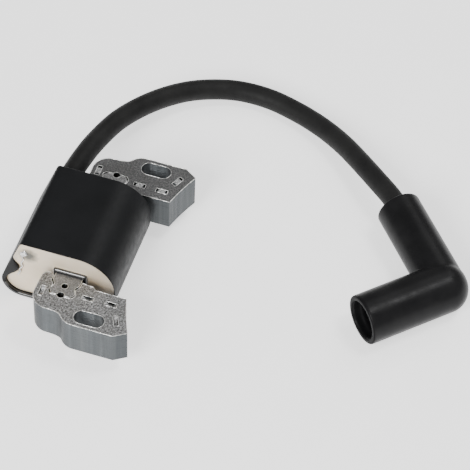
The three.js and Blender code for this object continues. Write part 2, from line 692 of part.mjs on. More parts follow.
// Upright from the board, beside the windings.
function primaryLink() {
  const x = BOARD_X + BOARD_WIDTH / 2 - 2 * LINK_RADIUS;
  const y = BOARD_START_Y + 2 * LINK_RADIUS;
  const height = 2 * TRIGGER_COIL_RADIUS;
  const z = BOARD_TOP + TOUCH_GAP;
  return rod(LINK_RADIUS, height, 8).rotateX(Math.PI / 2).translate(x, y, z);
}

function solder() {
  const bore = STOP_PIN_RADIUS + NEST_GAP;
  const lip = (bore + SOLDER_RADIUS) / 2;
  const profile = [[bore, 0], [lip, 0], [SOLDER_RADIUS, SOLDER_LENGTH], [bore, SOLDER_LENGTH]];
  profile.push([bore, 0]);
  const y = RESIN_FACE_Y - NEST_GAP - SOLDER_LENGTH;
  return turned(profile, 16).translate(STOP_PIN_X, y, STOP_PIN_Z);
}

// Thin wire from under the pin down the resin's face, just ahead of the back wall's rib.
function stopTail() {
  const y = RESIN_FACE_Y - NEST_GAP - TAIL_RADIUS;
  const top = STOP_PIN_Z - SOLDER_RADIUS - TOUCH_GAP;
  const points = [];
  const count = 4;
  for (let i = 0; i < count; i++) {
    const along = i / (count - 1);
    const x = STOP_PIN_X - TAIL_LEAN * along + TAIL_BOW * Math.sin(Math.PI * along);
    points.push(new Vector3(x, y, top - TAIL_DROP * along));
  }
  return wire(points, TAIL_RADIUS);
}

addPiece("high_tension_terminal", leadTerminal(), springSteel);
addPiece("high_tension_link_wire", linkRod(LINK_RADIUS, 0), copper);
addPiece("primary_link_wire", primaryLink(), copper);
const stopPin = rod(STOP_PIN_RADIUS, STOP_PIN_LENGTH, 12);
addPiece("stop_terminal_pin", stopPin.translate(STOP_PIN_X, STOP_PIN_Y, STOP_PIN_Z), springSteel);
addPiece("terminal_solder", solder(), solderBright);
addPiece("stop_wire_tail", stopTail(), solderBright);

// ---- Boot ----

// Directions of the boot's arms, from its corner: to the lead, and to the plug, which lies level.
function armDirections() {
  const rise = radians(LEAD_ARM_RISE);
  const heading = radians(LEAD_ARM_HEADING);
  const level = Math.cos(rise);
  const toLead = new Vector3(Math.cos(heading) * level, Math.sin(heading) * level, Math.sin(rise));
  const turn = Math.acos(Math.cos(radians(ELBOW_ANGLE)) / level);
  const toPlug = new Vector3(Math.cos(heading + turn), Math.sin(heading + turn), 0);
  return { toLead, toPlug };
}

const bootCorner = new Vector3(BOOT_CORNER_X, BOOT_CORNER_Y, PLUG_ARM_RADIUS + BOOT_REST_GAP);
const { toLead, toPlug } = armDirections();

// Turns a geometry whose axis is +Y to a direction, with its base at the boot's corner.
function atCorner(geometry, direction) {
  geometry.applyQuaternion(new THREE.Quaternion().setFromUnitVectors(new Vector3(0, 1, 0), direction));
  return geometry.translate(bootCorner.x, bootCorner.y, bootCorner.z);
}

function roundedRim(radius, length, round, steps = 3) {
  return arc(radius - round, length - round, round, 0, 90, steps).map((p) => [p.x, p.y]);
}

function boot() {
  const heel = [];
  const heelSteps = 7;
  for (let i = 0; i <= heelSteps; i++) {
    const a = radians((90 * i) / heelSteps);
    heel.push([PLUG_ARM_RADIUS * Math.sin(a), -HEEL_LENGTH * Math.cos(a)]);
  }
  heel[0][0] = 0;
  const mouth = roundedRim(PLUG_ARM_RADIUS, PLUG_ARM_LENGTH, RIM_ROUND);
  const plugArm = [...heel, ...mouth, [0, PLUG_ARM_LENGTH]];
  const tip = roundedRim(LEAD_ARM_TIP_RADIUS, LEAD_ARM_LENGTH, RIM_ROUND);
  const leadArm = [[0, 0], [LEAD_ARM_ROOT_RADIUS, 0], ...tip, [0, LEAD_ARM_LENGTH]];
  const boreStep = PLUG_ARM_LENGTH - PLUG_BORE_LENGTH;
  const past = PLUG_ARM_LENGTH + 1;
  const plugBore = [[0, SPRING_BORE_END], [SPRING_BORE_RADIUS, SPRING_BORE_END]];
  plugBore.push([SPRING_BORE_RADIUS, boreStep - 1], [PLUG_BORE_RADIUS, boreStep]);
  plugBore.push([PLUG_BORE_RADIUS, past], [0, past]);
  const body = solid(atCorner(turned(plugArm, BOOT_SIDES), toPlug)).add(
    solid(atCorner(turned(leadArm, BOOT_SIDES), toLead)),
  );
  const cut = solid(atCorner(turned(plugBore, BOOT_SIDES), toPlug)).add(
    solid(atCorner(rod(LEAD_BORE_RADIUS, LEAD_ARM_LENGTH + 1, BOOT_SIDES), toLead)),
  );
  return body.subtract(cut);
}

// A coil that grips the plug's tip, with a straight end in line with the lead's conductor.
function terminalSpring() {
  const across = new Vector3().crossVectors(toPlug, toLead).normalize();
  const up = new Vector3().crossVectors(across, toPlug).normalize();
  const end = bootCorner.clone().addScaledVector(toLead, LEAD_END - CONDUCTOR_STAND - TOUCH_GAP);
  const points = [end, end.clone().addScaledVector(toLead, -SPRING_TAIL)];
  const pointsPerTurn = 12;
  for (let i = 0; i <= SPRING_TURNS * pointsPerTurn; i++) {
    const turns = i / pointsPerTurn;
    const angle = turns * 2 * Math.PI;
    const point = bootCorner.clone().addScaledVector(toPlug, SPRING_START + turns * SPRING_PITCH);
    point.addScaledVector(up, SPRING_RADIUS * Math.cos(angle));
    points.push(point.addScaledVector(across, SPRING_RADIUS * Math.sin(angle)));
  }
  return wire(points, SPRING_WIRE_RADIUS, 6, SPRING_STEP);
}

addPiece("spark_boot", geometryOf(boot()), bootRubber);
addPiece("plug_terminal_spring", terminalSpring(), springSteel);

// ---- Lead ----

// Out of the case level, down to the resting surface in a wide bend, and up into the boot.
const leadMouth = bootCorner.clone().addScaledVector(toLead, LEAD_ARM_LENGTH);
const leadRoute = [
  new Vector3(LEAD_X, LEAD_START_Y, LEAD_Z),
  new Vector3(LEAD_X, CASE_HALF, LEAD_Z),
  new Vector3(LEAD_X, CASE_HALF + COLLAR_LENGTH + LEAD_STRAIGHT, LEAD_Z),
  new Vector3(-13.7, 32.0, 15.8),
  new Vector3(-12.2, 40.8, 15.0),
  new Vector3(-8.75, 53.4, 13.2),
  new Vector3(-2.0, 67.0, 10.2),
  new Vector3(6.2, 77.6, 7.2),
  new Vector3(14.2, 83.6, 5.2),
  new Vector3(23.0, 86.9, 4.1),
  new Vector3(33.5, 87.2, 3.65),
  new Vector3(44.0, 84.7, 3.6),
  new Vector3(51.8, 81.5, 4.0),
  new Vector3(58.7, 77.5, 4.8),
  new Vector3(64.6, 73.1, 5.8),
  new Vector3(70.0, 68.3, 6.9),
  new Vector3(78.6, 60.1, 8.8),
  leadMouth.clone().addScaledVector(toLead, 4),
  leadMouth,
  bootCorner.clone().addScaledVector(toLead, LEAD_END),
];

function insulation() {
  const section = new Shape(circle(LEAD_DIAMETER / 2, LEAD_SIDES));
  const bore = CONDUCTOR_DIAMETER / 2 + NEST_GAP;
  section.holes.push(new Path(circle(bore, CONDUCTOR_SIDES)));
  return swept(section, leadRoute, LEAD_STEP);
}

// The conductor stops short of the spike in the case and stands out of the insulation in the boot.
function conductor() {
  const start = new Vector3(LEAD_X, LEAD_START_Y + TOUCH_GAP, LEAD_Z);
  const end = bootCorner.clone().addScaledVector(toLead, LEAD_END - CONDUCTOR_STAND);
  const route = [start, ...leadRoute.slice(1, -1), end];
  return wire(route, CONDUCTOR_DIAMETER / 2, CONDUCTOR_SIDES, LEAD_STEP);
}

addPiece("lead_insulation", insulation(), leadRubber);
addPiece("lead_conductor", conductor(), copper);

// ---- Frame ----

// The case's foot is the furthest back and the pole tips the furthest forward.
const caseBack = Math.min(...caseSection(0).map((p) => p.x));
coil.position.x = -(caseBack + POLE_TIP_X) / 2;

export default coil;
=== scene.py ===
# %% [markdown]
# # An ignition coil for a small engine
# Two legs of laminated steel bolt beside the flywheel. A laminated bar joins them and passes through a
# black case that holds the windings in ivory resin. A spark plug lead leaves the case and ends in a rubber
# elbow boot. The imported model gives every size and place. This lesson gives each piece its real surface.

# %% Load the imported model
import math

import bmesh
import bpy
import numpy as np
from mathutils import Matrix, Vector


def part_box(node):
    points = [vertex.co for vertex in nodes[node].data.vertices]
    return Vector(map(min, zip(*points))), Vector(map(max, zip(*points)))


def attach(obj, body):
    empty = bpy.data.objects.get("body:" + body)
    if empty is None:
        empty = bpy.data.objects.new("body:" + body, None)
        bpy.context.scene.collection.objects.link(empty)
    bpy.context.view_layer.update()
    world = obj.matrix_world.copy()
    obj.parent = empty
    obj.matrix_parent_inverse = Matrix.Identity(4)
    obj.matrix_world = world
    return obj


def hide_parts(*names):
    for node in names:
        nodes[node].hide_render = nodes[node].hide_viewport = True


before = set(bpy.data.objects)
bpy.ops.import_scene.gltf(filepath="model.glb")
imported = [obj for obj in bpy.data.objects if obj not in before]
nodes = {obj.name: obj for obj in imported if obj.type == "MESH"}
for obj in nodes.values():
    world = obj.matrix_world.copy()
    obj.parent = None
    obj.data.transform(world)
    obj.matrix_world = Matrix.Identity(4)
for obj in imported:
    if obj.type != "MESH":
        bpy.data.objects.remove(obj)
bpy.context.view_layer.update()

# %% [markdown]
# Small parts are easier to model in millimetres, because Blender's bevels and booleans lose accuracy on
# sizes under a tenth of a millimetre in metres. So each piece is modelled in millimetres and shrunk at the
# end.

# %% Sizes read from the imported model
MM = 0.001


def corners(node):
    low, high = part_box(node)
    return low / MM, high / MM


bar_low, bar_high = corners("core_bar")
leg_high = corners("far_pole_leg")[1]
case_high = corners("coil_case")[1]

BAR_X = (bar_low.x + bar_high.x) / 2
BAR_Z = (bar_low.z + bar_high.z) / 2
BAR_WIDTH = bar_high.x - bar_low.x
BAR_END = bar_high.y
STACK_FOOT = bar_low.z
STACK = bar_high.z - bar_low.z
print("bar", round(BAR_WIDTH, 2), "mm wide, stack", round(STACK, 2), "mm thick")

# %% [markdown]
# ## Camera
# The camera stands to the coil's front left and looks steeply down, turned a little on its own axis. A long
# lens keeps the edges of the steel almost parallel.

# %% Camera


def facing(azimuth, elevation, roll):
    a, e, r = (math.radians(v) for v in (azimuth, elevation, roll))
    back = Vector((math.sin(a) * math.cos(e), -math.cos(a) * math.cos(e), math.sin(e)))
    right = Vector((math.cos(a), math.sin(a), 0))
    up = back.cross(right)
    level = Matrix((right, up, back)).transposed()
    return level.to_4x4() @ Matrix.Rotation(r, 4, "Z")


CAMERA_PLACE = (0.17704, -0.46092, 0.62464)
camera = bpy.data.objects.new("camera", bpy.data.cameras.new("camera"))
camera.data.lens = 188.33
camera.data.sensor_width = 36
camera.data.clip_start = 0.01
camera.data.clip_end = 20
camera.matrix_world = Matrix.Translation(CAMERA_PLACE) @ facing(azimuth=15.69, elevation=50.82, roll=2.76)
bpy.context.scene.collection.objects.link(camera)
bpy.context.scene.camera = camera
print("camera", [round(v, 3) for v in camera.location])

# %% [markdown]
# ## Tools for meshes
# Most pieces are either a skin over rings of points or a plan raised to a height. A skin joins each ring to
# the next with four-sided faces, so a rounded edge is only a few rings that shrink along an arc.

# %% Meshes from rings and plans


def object_from(name, points, faces, edges=()):
    mesh = bpy.data.meshes.new(name)
    mesh.from_pydata([tuple(p) for p in points], edges, faces)
    mesh.update()
    made = bpy.data.objects.new(name, mesh)
    bpy.context.scene.collection.objects.link(made)
    return made


def outward(made):
    shape = bmesh.new()
    shape.from_mesh(made.data)
    bmesh.ops.remove_doubles(shape, verts=shape.verts, dist=1e-5)
    bmesh.ops.recalc_face_normals(shape, faces=shape.faces)
    shape.to_mesh(made.data)
    shape.free()
    return made


def skin(name, rings, caps=True, loop=False):
    count = len(rings[0])
    points = [p for ring in rings for p in ring]
    faces = []
    for r in range(len(rings) if loop else len(rings) - 1):
        here, there = r * count, (r + 1) % len(rings) * count
        for i in range(count):
            j = (i + 1) % count
            faces.append((here + i, here + j, there + j, there + i))
    if caps:
        faces.append(tuple(reversed(range(count))))
        faces.append(tuple(range((len(rings) - 1) * count, len(rings) * count)))
    return outward(object_from(name, points, faces))


def raised(name, plan, foot, height):
    return skin(name, [[(x, y, z) for x, y in plan] for z in (foot, foot + height)])


def arc(x, y, radius, start, end, steps):
    angles = [math.radians(start + (end - start) * i / steps) for i in range(steps + 1)]
    return [(x + radius * math.cos(a), y + radius * math.sin(a)) for a in angles]


def punched(made, *punches, union=()):
    """Cuts each punch out of a piece, or joins it on if it is in union, and removes it."""
    for punch in punches:
        cut = made.modifiers.new("punch", "BOOLEAN")
        cut.operation = "UNION" if punch in union else "DIFFERENCE"
        cut.solver = "EXACT"
        cut.object = punch
    return settled(made, punches)


def settled(made, spent=()):
    """Turns a piece's modifiers into plain mesh, and removes the pieces that they used."""
    bpy.context.view_layer.update()
    evaluated = made.evaluated_get(bpy.context.evaluated_depsgraph_get())
    result = bpy.data.meshes.new_from_object(evaluated)
    made.modifiers.clear()
    made.data = result
    for other in spent:
        bpy.data.objects.remove(other)
    return made


def chamfered(made, width):
    bevel = made.modifiers.new("edges", "BEVEL")
    bevel.width = width
    bevel.segments = 1
    bevel.limit_method = "ANGLE"
    bevel.angle_limit = math.radians(50)
    return settled(made)


# %% [markdown]
# ## Tools for geometry nodes
# A tree is built once, with named inputs, and used on as many pieces as need it. The modifier asks for each
# input by its hidden identifier, so a small function looks those up. The result is kept as a plain mesh.

# %% Geometry node helpers


def new_tree(name, sizes):
    tree = bpy.data.node_groups.new(name, "GeometryNodeTree")
    tree.is_modifier = True
    tree.interface.new_socket("Geometry", in_out="INPUT", socket_type="NodeSocketGeometry")
    for label, kind in sizes.items():
        tree.interface.new_socket(label, in_out="INPUT", socket_type="NodeSocket" + kind)
    tree.interface.new_socket("Geometry", in_out="OUTPUT", socket_type="NodeSocketGeometry")
    given = tree.nodes.new("NodeGroupInput")
    result = tree.nodes.new("NodeGroupOutput")
    return tree, given.outputs, result.inputs[0]


def step(tree, kind, links=None, **settings):
    """Adds a node, sets its properties and joins or fills its inputs. A node stands for its first output."""
    node = tree.nodes.new(kind)
    for name, value in settings.items():
        setattr(node, name, value)
    for name, source in (links or {}).items():
        if isinstance(source, bpy.types.Node):
            source = source.outputs[0]
        if isinstance(source, bpy.types.NodeSocket):
            tree.links.new(source, node.inputs[name])
        else:
            node.inputs[name].default_value = source
    return node


def coated(tree, copies, finish, result):
    """Makes copies real, gives them a finish and sends them out of the tree."""
    real = step(tree, "GeometryNodeRealizeInstances", {"Geometry": copies})
    done = step(tree, "GeometryNodeSetMaterial", {"Geometry": real, "Material": finish})
    tree.links.new(done.outputs[0], result)
    return tree


def grown(made, tree, **values):
    """Runs a tree on a piece and keeps the result as its mesh."""
    modifier = made.modifiers.new(tree.name, "NODES")
    modifier.node_group = tree
    for item in tree.interface.items_tree:
        label = item.name.replace(" ", "_").lower()
        if item.in_out == "INPUT" and label in values:
            modifier[item.identifier] = values[label]
    return settled(made)


def in_place(made, body, finish, replaces=(), smooth=35):
    """Shrinks a piece to metres, gives it its finish and hangs it on its body."""
    made.data.transform(Matrix.Scale(MM, 4))
    made.data.materials.clear()
    made.data.materials.append(finish)
    made.data.shade_smooth()
    made.data.set_sharp_from_angle(angle=math.radians(smooth))
    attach(made, body)
    if replaces:
        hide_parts(*replaces)
    print(made.name, len(made.data.polygons), "faces,", [round(v / MM, 1) for v in made.dimensions], "mm")
    return made


# %% [markdown]
# ## Tools for finishes
# Each finish is a small node tree on one Principled shader. Patterns read Object coordinates, in metres, so
# a noise scale of 1000 has features about a millimetre across.

# %% Finish helpers


def rgba(colour):
    """A colour with full alpha. A single number stands for a grey."""
    return (*colour, 1) if isinstance(colour, tuple) else (colour, colour, colour, 1)


class Finish:
    def __init__(self, name, **constants):
        self.material = bpy.data.materials.new(name)
        self.material.use_nodes = True
        self.tree = self.material.node_tree
        self.shader = self.tree.nodes["Principled BSDF"]
        for label, value in constants.items():
            self.shader.inputs[label.replace("_", " ")].default_value = value
        self.place = step(self.tree, "ShaderNodeTexCoord").outputs["Object"]

    def part(self, vector, axis):
        return step(self.tree, "ShaderNodeSeparateXYZ", {0: vector}).outputs[axis]

    def facing(self, axis):
        """How far the surface faces along an axis, from -1 to 1."""
        return self.part(step(self.tree, "ShaderNodeNewGeometry").outputs["True Normal"], axis)

    def openness(self, distance):
        """1 in the open, and less in holes and corners within a distance."""
        return step(self.tree, "ShaderNodeAmbientOcclusion", {"Distance": distance}).outputs["AO"]

    def stretched(self, x, y, z):
        return step(self.tree, "ShaderNodeMapping", {"Vector": self.place, "Scale": (x, y, z)}).outputs[0]

    def noise(self, scale, detail=3, roughness=0.5, at=None):
        links = {"Vector": at or self.place, "Scale": scale, "Detail": detail, "Roughness": roughness}
        return step(self.tree, "ShaderNodeTexNoise", links).outputs["Fac"]

    def ramp(self, value, *stops):
        """Turns a value into a colour or a grey by stops of (position, colour or grey)."""
        node = step(self.tree, "ShaderNodeValToRGB", {"Fac": value})
        while len(node.color_ramp.elements) < len(stops):
            node.color_ramp.elements.new(0.5)
        for element, (position, colour) in zip(node.color_ramp.elements, stops):
            element.position = position
            element.color = rgba(colour)
        return node.outputs["Color"]

    def math(self, operation, a, b=0.0):
        return step(self.tree, "ShaderNodeMath", {0: a, 1: b}, operation=operation).outputs[0]

    def vector(self, operation, a, b):
        return step(self.tree, "ShaderNodeVectorMath", {0: a, 1: b}, operation=operation)

    def mix(self, amount, a, b):
        a, b = (v if isinstance(v, bpy.types.NodeSocket) else rgba(v) for v in (a, b))
        return step(self.tree, "ShaderNodeMix", {0: amount, 6: a, 7: b}, data_type="RGBA").outputs[2]

    def bump(self, height, depth, strength):
        links = {"Height": height, "Distance": depth, "Strength": strength}
        return step(self.tree, "ShaderNodeBump", links).outputs[0]

    def to(self, **sockets):
        for label, source in sockets.items():
            self.tree.links.new(source, self.shader.inputs[label.replace("_", " ")])
        return self.material


# %% [markdown]
# ## The lead
# The lead has a real, fixed length. It leaves the case level, comes down to the bench in one wide bend, and
# rises a little into the boot. A stiff 7 mm lead holds such an arc by itself. Its centre line is a smooth
# curve through chosen points, and a round section follows it.

# %% The lead's route
LEAD_RADIUS = 3.5
LEAD_ROOT_Y = corners("lead_insulation")[0].y
LEAD_X = BAR_X - 14.75
LEAD_Z = BAR_Z + 4.25
CASE_FACE = 17.3
COLLAR_LENGTH, LEAD_STRAIGHT = 1.2, 3.0
BOOT_CORNER = Vector((BAR_X + 111.35, 24, 8.3))
TO_LEAD = Vector((-0.65302, 0.75653, 0.0349))
TO_PLUG = Vector((-0.70954, -0.70466, 0))
LEAD_ARM_LENGTH = 34.5
LEAD_IN_BOOT = 8.9

chosen = [(-13.7, 32.0, 15.8), (-12.2, 40.8, 15.0), (-8.75, 53.4, 13.2)]
chosen += [(-2.0, 67.0, 10.2), (6.2, 77.6, 7.2), (14.2, 83.6, 5.2), (23.0, 86.9, 4.1), (33.5, 87.2, 3.65)]
chosen += [(44.0, 84.7, 3.6), (51.8, 81.5, 4.0), (58.7, 77.5, 4.8), (64.6, 73.1, 5.8), (70.0, 68.3, 6.9)]
chosen += [(78.6, 60.1, 8.8)]
levels = (LEAD_ROOT_Y, CASE_FACE, CASE_FACE + COLLAR_LENGTH + LEAD_STRAIGHT)
route = [Vector((LEAD_X, y, LEAD_Z)) for y in levels]
route += [Vector((x + BAR_X, y, z)) for x, y, z in chosen]
route += [BOOT_CORNER + TO_LEAD * s for s in (LEAD_ARM_LENGTH + 4, LEAD_ARM_LENGTH, LEAD_IN_BOOT)]


def smooth_line(points, spacing):
    """Centripetal curve through the points, as evenly spaced points."""
    ends = [points[0] * 2 - points[1], *points, points[-1] * 2 - points[-2]]
    line = []
    for a, b, c, d in zip(ends, ends[1:], ends[2:], ends[3:]):
        knots = [0.0]
        for p, q in ((a, b), (b, c), (c, d)):
            knots.append(knots[-1] + math.sqrt((q - p).length))
        pieces = max(2, round((c - b).length / spacing))
        for i in range(pieces):
            t = knots[1] + (knots[2] - knots[1]) * i / pieces
            layer = [a, b, c, d]
            for depth in (1, 2):
                layer = [
                    (p * (knots[k + depth] - t) + q * (t - knots[k])) / (knots[k + depth] - knots[k])
                    for k, (p, q) in enumerate(zip(layer, layer[1:]))
                ]
            share = (t - knots[1]) / (knots[2] - knots[1])
            line.append(layer[0].lerp(layer[1], share))
    return [*line, points[-1]]


lead_line = smooth_line(route, 1.0)

# %% [markdown]
# One tree turns any line into a round wire: the lead, the terminal's coil and the thin stop wire all use
# it. The alternative, a curve's own bevel, gives no named sizes and no way to write the distance along the
# wire.

# %% Tree: a round wire along a line


def build_wire_tree():
    tree, given, result = new_tree("round_wire", {"Radius": "Float", "Sides": "Int", "Finish": "Material"})
    line = step(tree, "GeometryNodeMeshToCurve", {"Mesh": given["Geometry"]})
    along = step(tree, "GeometryNodeSplineParameter")
    links = {"Geometry": line, "Name": "along", "Value": along.outputs["Length"]}
    marked = step(tree, "GeometryNodeStoreNamedAttribute", links)
    links = {"Resolution": given["Sides"], "Radius": given["Radius"]}
    section = step(tree, "GeometryNodeCurvePrimitiveCircle", links)
    links = {"Curve": marked, "Profile Curve": section, "Fill Caps": True}
    round_wire = step(tree, "GeometryNodeCurveToMesh", links)
    return coated(tree, round_wire, given["Finish"], result)


wire_tree = build_wire_tree()


def wire_along(name, line, radius, sides, finish):
    made = object_from(name, line, [], edges=[(i, i + 1) for i in range(len(line) - 1)])
    return outward(grown(made, wire_tree, radius=radius, sides=sides, finish=finish))


# %% [markdown]
# Extruded rubber is almost matt, with a fine skin and a little dust that makes it greyer in places.

# %% Lead rubber


def lead_rubber():
    finish = Finish("lead_rubber", Specular_IOR_Level=0.13)
    dust = finish.noise(90, 5, 0.6)
    grain = finish.noise(2600, 4, 0.6)
    colour = finish.ramp(dust, (0.35, 0.01), (0.7, (0.017, 0.017, 0.0165)))
    rough = finish.ramp(finish.noise(500, 3), (0.3, 0.5), (0.7, 0.62))
    return finish.to(Base_Color=colour, Roughness=rough, Normal=finish.bump(grain, 0.00004, 0.5))


LEAD_RUBBER = lead_rubber()
lead = wire_along("spark_plug_lead", lead_line, LEAD_RADIUS, 40, LEAD_RUBBER)
in_place(lead, "coil", LEAD_RUBBER, ["lead_insulation"])

# %% [markdown]
# ## Floor and light
# A pale bench that glows a little, like a light table, and a dim even surround. Glossy black plastic shows
# mostly what it reflects, so the lamps are placed for the bands of light that they draw along the case and
# the boot: the key lamp lights the edges that face the front, a wide panel behind draws the broad sheen on
# the case, and the top lamp draws the streak along the boot.

# %% Bench and lamps
bench = object_from("bench", [(-3, -3, 0), (3, -3, 0), (3, 3, 0), (-3, 3, 0)], [(0, 1, 2, 3)])
bench.location.z = -0.0001
bench_paint = Finish("bench_paint", Roughness=0.75, Specular_IOR_Level=0.2, Emission_Strength=1.05)
bench_paint.shader.inputs["Emission Color"].default_value = (1, 1, 1, 1)
speckle = bench_paint.noise(40, 2)
bench_white = bench_paint.ramp(speckle, (0.3, 0.9), (0.7, 0.93))
bench.data.materials.append(bench_paint.to(Base_Color=bench_white))

world = bpy.data.worlds.new("studio")
world.use_nodes = True
world.node_tree.nodes["Background"].inputs["Color"].default_value = (1, 1, 1, 1)
world.node_tree.nodes["Background"].inputs["Strength"].default_value = 0.42
bpy.context.scene.world = world


def lamp(name, place, target, width, height, power):
    data = bpy.data.lights.new(name, "AREA")
    data.shape = "RECTANGLE"
    data.size = width
    data.size_y = height
    data.energy = power
    made = bpy.data.objects.new(name, data)
    made.location = place
    made.rotation_euler = (Vector(target) - Vector(place)).to_track_quat("-Z", "Y").to_euler()
    bpy.context.scene.collection.objects.link(made)


lamp("key_lamp", (-0.2, -0.85, 0.7), (0.03, 0.02, 0), 0.45, 0.45, 13)
lamp("back_panel", (0.26, 0.62, 0.76), (0.0, 0.0, 0), 0.5, 0.5, 1.8)
lamp("top_lamp", (0.38, 0.14, 0.85), (0.1, 0.02, 0), 0.2, 0.2, 2.6)

# %% [markdown]
# ## Steel sheets
# Legs and bar are stacks of thin punched sheets. On the real parts each sheet has a rolled-over edge and a
# small burr, and the sheets don't line up perfectly. One block with a bump map would look cut from solid.
# So one sheet is punched in full, and a tree stacks copies of it with a slight random shift.

# %% Plans of the leg and the bar
SHEETS = 25
SHEET = STACK / SHEETS
LEG_Y = BAR_END + 6
LEG_OUT = leg_high.y - LEG_Y
LEG_INNER = 11.2
TIP_X = leg_high.x - BAR_X
POLE_RADIUS, POLE_CORNER = 77, 2.6
SHOULDER_X, SHOULDER_RADIUS = 7.15, 5.5
LOBE_X, LOBE_OUT, LOBE_RADIUS = -2.95, -5.25, 5.5
PRONG_TIP, PRONG = -13.45, 1.95
JOINT_GAP = 0.4
WAIST, HEAD, HEAD_CORNER = 3.4, 4.05, 0.9


def tail_plan(grow, side):
    """The bar's waisted tail, from its right shoulder round to its left one."""
    half = BAR_WIDTH / 2 + grow
    waist, head = WAIST + grow, HEAD + grow
    knots = [(half, 5.3), ((half + waist) / 2, 4.5), (waist, 3.7), (head, 1.4), (head - HEAD_CORNER, 0)]
    right = smooth_line([Vector((x, BAR_END + grow - back, 0)) for x, back in knots], 0.18)
    points = [(p.x, p.y) for p in right] + [(-p.x, p.y) for p in reversed(right)]
    return points if side > 0 else [(-x, -y) for x, y in points]


def bar_plan(grow):
    return [(BAR_X + x, y) for x, y in tail_plan(grow, 1) + tail_plan(grow, -1)]


def bent(a, b, c, steps):
    """Points between a and c on the curve that leaves and arrives towards b."""
    shares = [i / steps for i in range(1, steps)]
    return [
        tuple((1 - t) ** 2 * p + 2 * t * (1 - t) * q + t * t * r for p, q, r in zip(a, b, c)) for t in shares
    ]


def leg_plan(side):
    """Outline of a leg, set out from the slot's centre line and then placed on its side."""
    shoulder = arc(SHOULDER_X, LEG_OUT - SHOULDER_RADIUS, SHOULDER_RADIUS, 90, 145, 14)
    lobe = arc(LOBE_X, LOBE_OUT, LOBE_RADIUS, 90, 180, 20)
    pole_end = LEG_OUT - POLE_CORNER
    flywheel = TIP_X + math.sqrt(POLE_RADIUS**2 - (LEG_Y + pole_end) ** 2)
    outs = [-LEG_INNER + (pole_end + LEG_INNER) * i / 14 for i in range(15)]
    pole = [(flywheel - math.sqrt(POLE_RADIUS**2 - (LEG_Y + out) ** 2), out) for out in outs]
    inner = [(0, PRONG_TIP + PRONG), (4.0, PRONG_TIP + 0.75), (8.7, -12.2), (9.7, -LEG_INNER)]
    outline = inner + pole + [(TIP_X - 4, LEG_OUT)] + shoulder
    outline += bent(shoulder[-1], (1.81, lobe[0][1]), lobe[0], 14) + lobe
    outline += arc(-BAR_WIDTH / 2 - PRONG, PRONG_TIP + PRONG, PRONG, 180, 360, 20)
    return [(BAR_X + x, side * (LEG_Y + y)) for x, y in outline]


print("leg plan", len(leg_plan(1)), "points, bar plan", len(bar_plan(0)), "points")

# %% [markdown]
# The locks are small V-shaped tongues, pressed out of each sheet into the window of the sheet below. The
# last sheets have only windows. The near leg shows the tongues' tops and the far leg, turned over, their
# undersides.

# %% Punch one sheet of each part
LOCKS = [(-6.2, -5.9, 90), (8.4, -7.5, 0), (16.0, -7.6, 0), (19.6, -2.1, 65)]
LOCK_LENGTH, LOCK_WIDTH, LOCK_DEPTH = 4.0, 1.6, 0.9
LOCK_SIDE_GAP = 0.06
SLOT_X, SLOT_HALF, SLOT_RADIUS = 11.5, 2.45, 2.55
JOINT_HOLE, BAR_HOLE, BAR_HOLE_IN = 2.4, 2.2, 3.7
SHEET_SOLID = SHEET - 0.015


def punch(plan):
    return raised("punch", plan, -1, SHEET + 2)


def hole(x, y, diameter):
    return punch(arc(x, y, diameter / 2, 0, 352.5, 47))


def turned_plan(plan, lock, side):
    x, out, turn = lock
    middle = Vector((BAR_X + x, side * (LEG_Y + out)))
    turned = Matrix.Rotation(math.radians(turn * side), 2)
    return [tuple(middle + turned @ Vector(point)) for point in plan]


def window(lock, side):
    u, v = LOCK_LENGTH / 2, LOCK_WIDTH / 2
    return punch(turned_plan([(-u, -v), (u, -v), (u, v), (-u, v)], lock, side))


def slot_plan(side):
    x, y = BAR_X + SLOT_X, side * LEG_Y
    front = arc(x + SLOT_HALF, y, SLOT_RADIUS, -90, 90, 20)
    return front + arc(x - SLOT_HALF, y, SLOT_RADIUS, 90, 270, 20)


def leg_sheet(side):
    sheet = raised("leg_sheet", leg_plan(side), 0, SHEET_SOLID)
    cuts = [punch(bar_plan(JOINT_GAP)), punch(slot_plan(side)), hole(BAR_X, side * BAR_END, JOINT_HOLE)]
    return punched(sheet, *cuts, *(window(lock, side) for lock in LOCKS))


def bar_sheet():
    sheet = raised("bar_sheet", bar_plan(0), 0, SHEET_SOLID)
    cuts = [hole(BAR_X, side * BAR_END, JOINT_HOLE) for side in (-1, 1)]
    cuts += [hole(BAR_X, side * (BAR_END - BAR_HOLE_IN), BAR_HOLE) for side in (-1, 1)]
    return punched(sheet, *cuts)


def tongues(side):
    """The four V-shaped tongues of one sheet. On the turned-over leg they point up."""
    half, v = LOCK_LENGTH / 2, LOCK_WIDTH / 2 - LOCK_SIDE_GAP
    flat = 0.45 if side < 0 else 1.15
    down = [(-half, 0), (-flat, -LOCK_DEPTH), (flat, -LOCK_DEPTH), (half, 0)]
    points, faces = [], []
    for lock in LOCKS:
        first = len(points)
        for u, z in down:
            for w, deep in ((-v, 0), (v, 0), (v, SHEET_SOLID), (-v, SHEET_SOLID)):
                x, y = turned_plan([(u, w)], lock, side)[0]
                height = SHEET_SOLID + z - deep
                points.append((x, y, height if side < 0 else SHEET_SOLID - height))
        for k in range(len(down) - 1):
            a, b = first + 4 * k, first + 4 * k + 4
            faces += [(a + i, a + (i + 1) % 4, b + (i + 1) % 4, b + i) for i in range(4)]
        faces += [(first + 3, first + 2, first + 1, first), tuple(first + 12 + i for i in range(4))]
    return outward(object_from("tongues", points, faces))


# %% Tree: a stack of copies


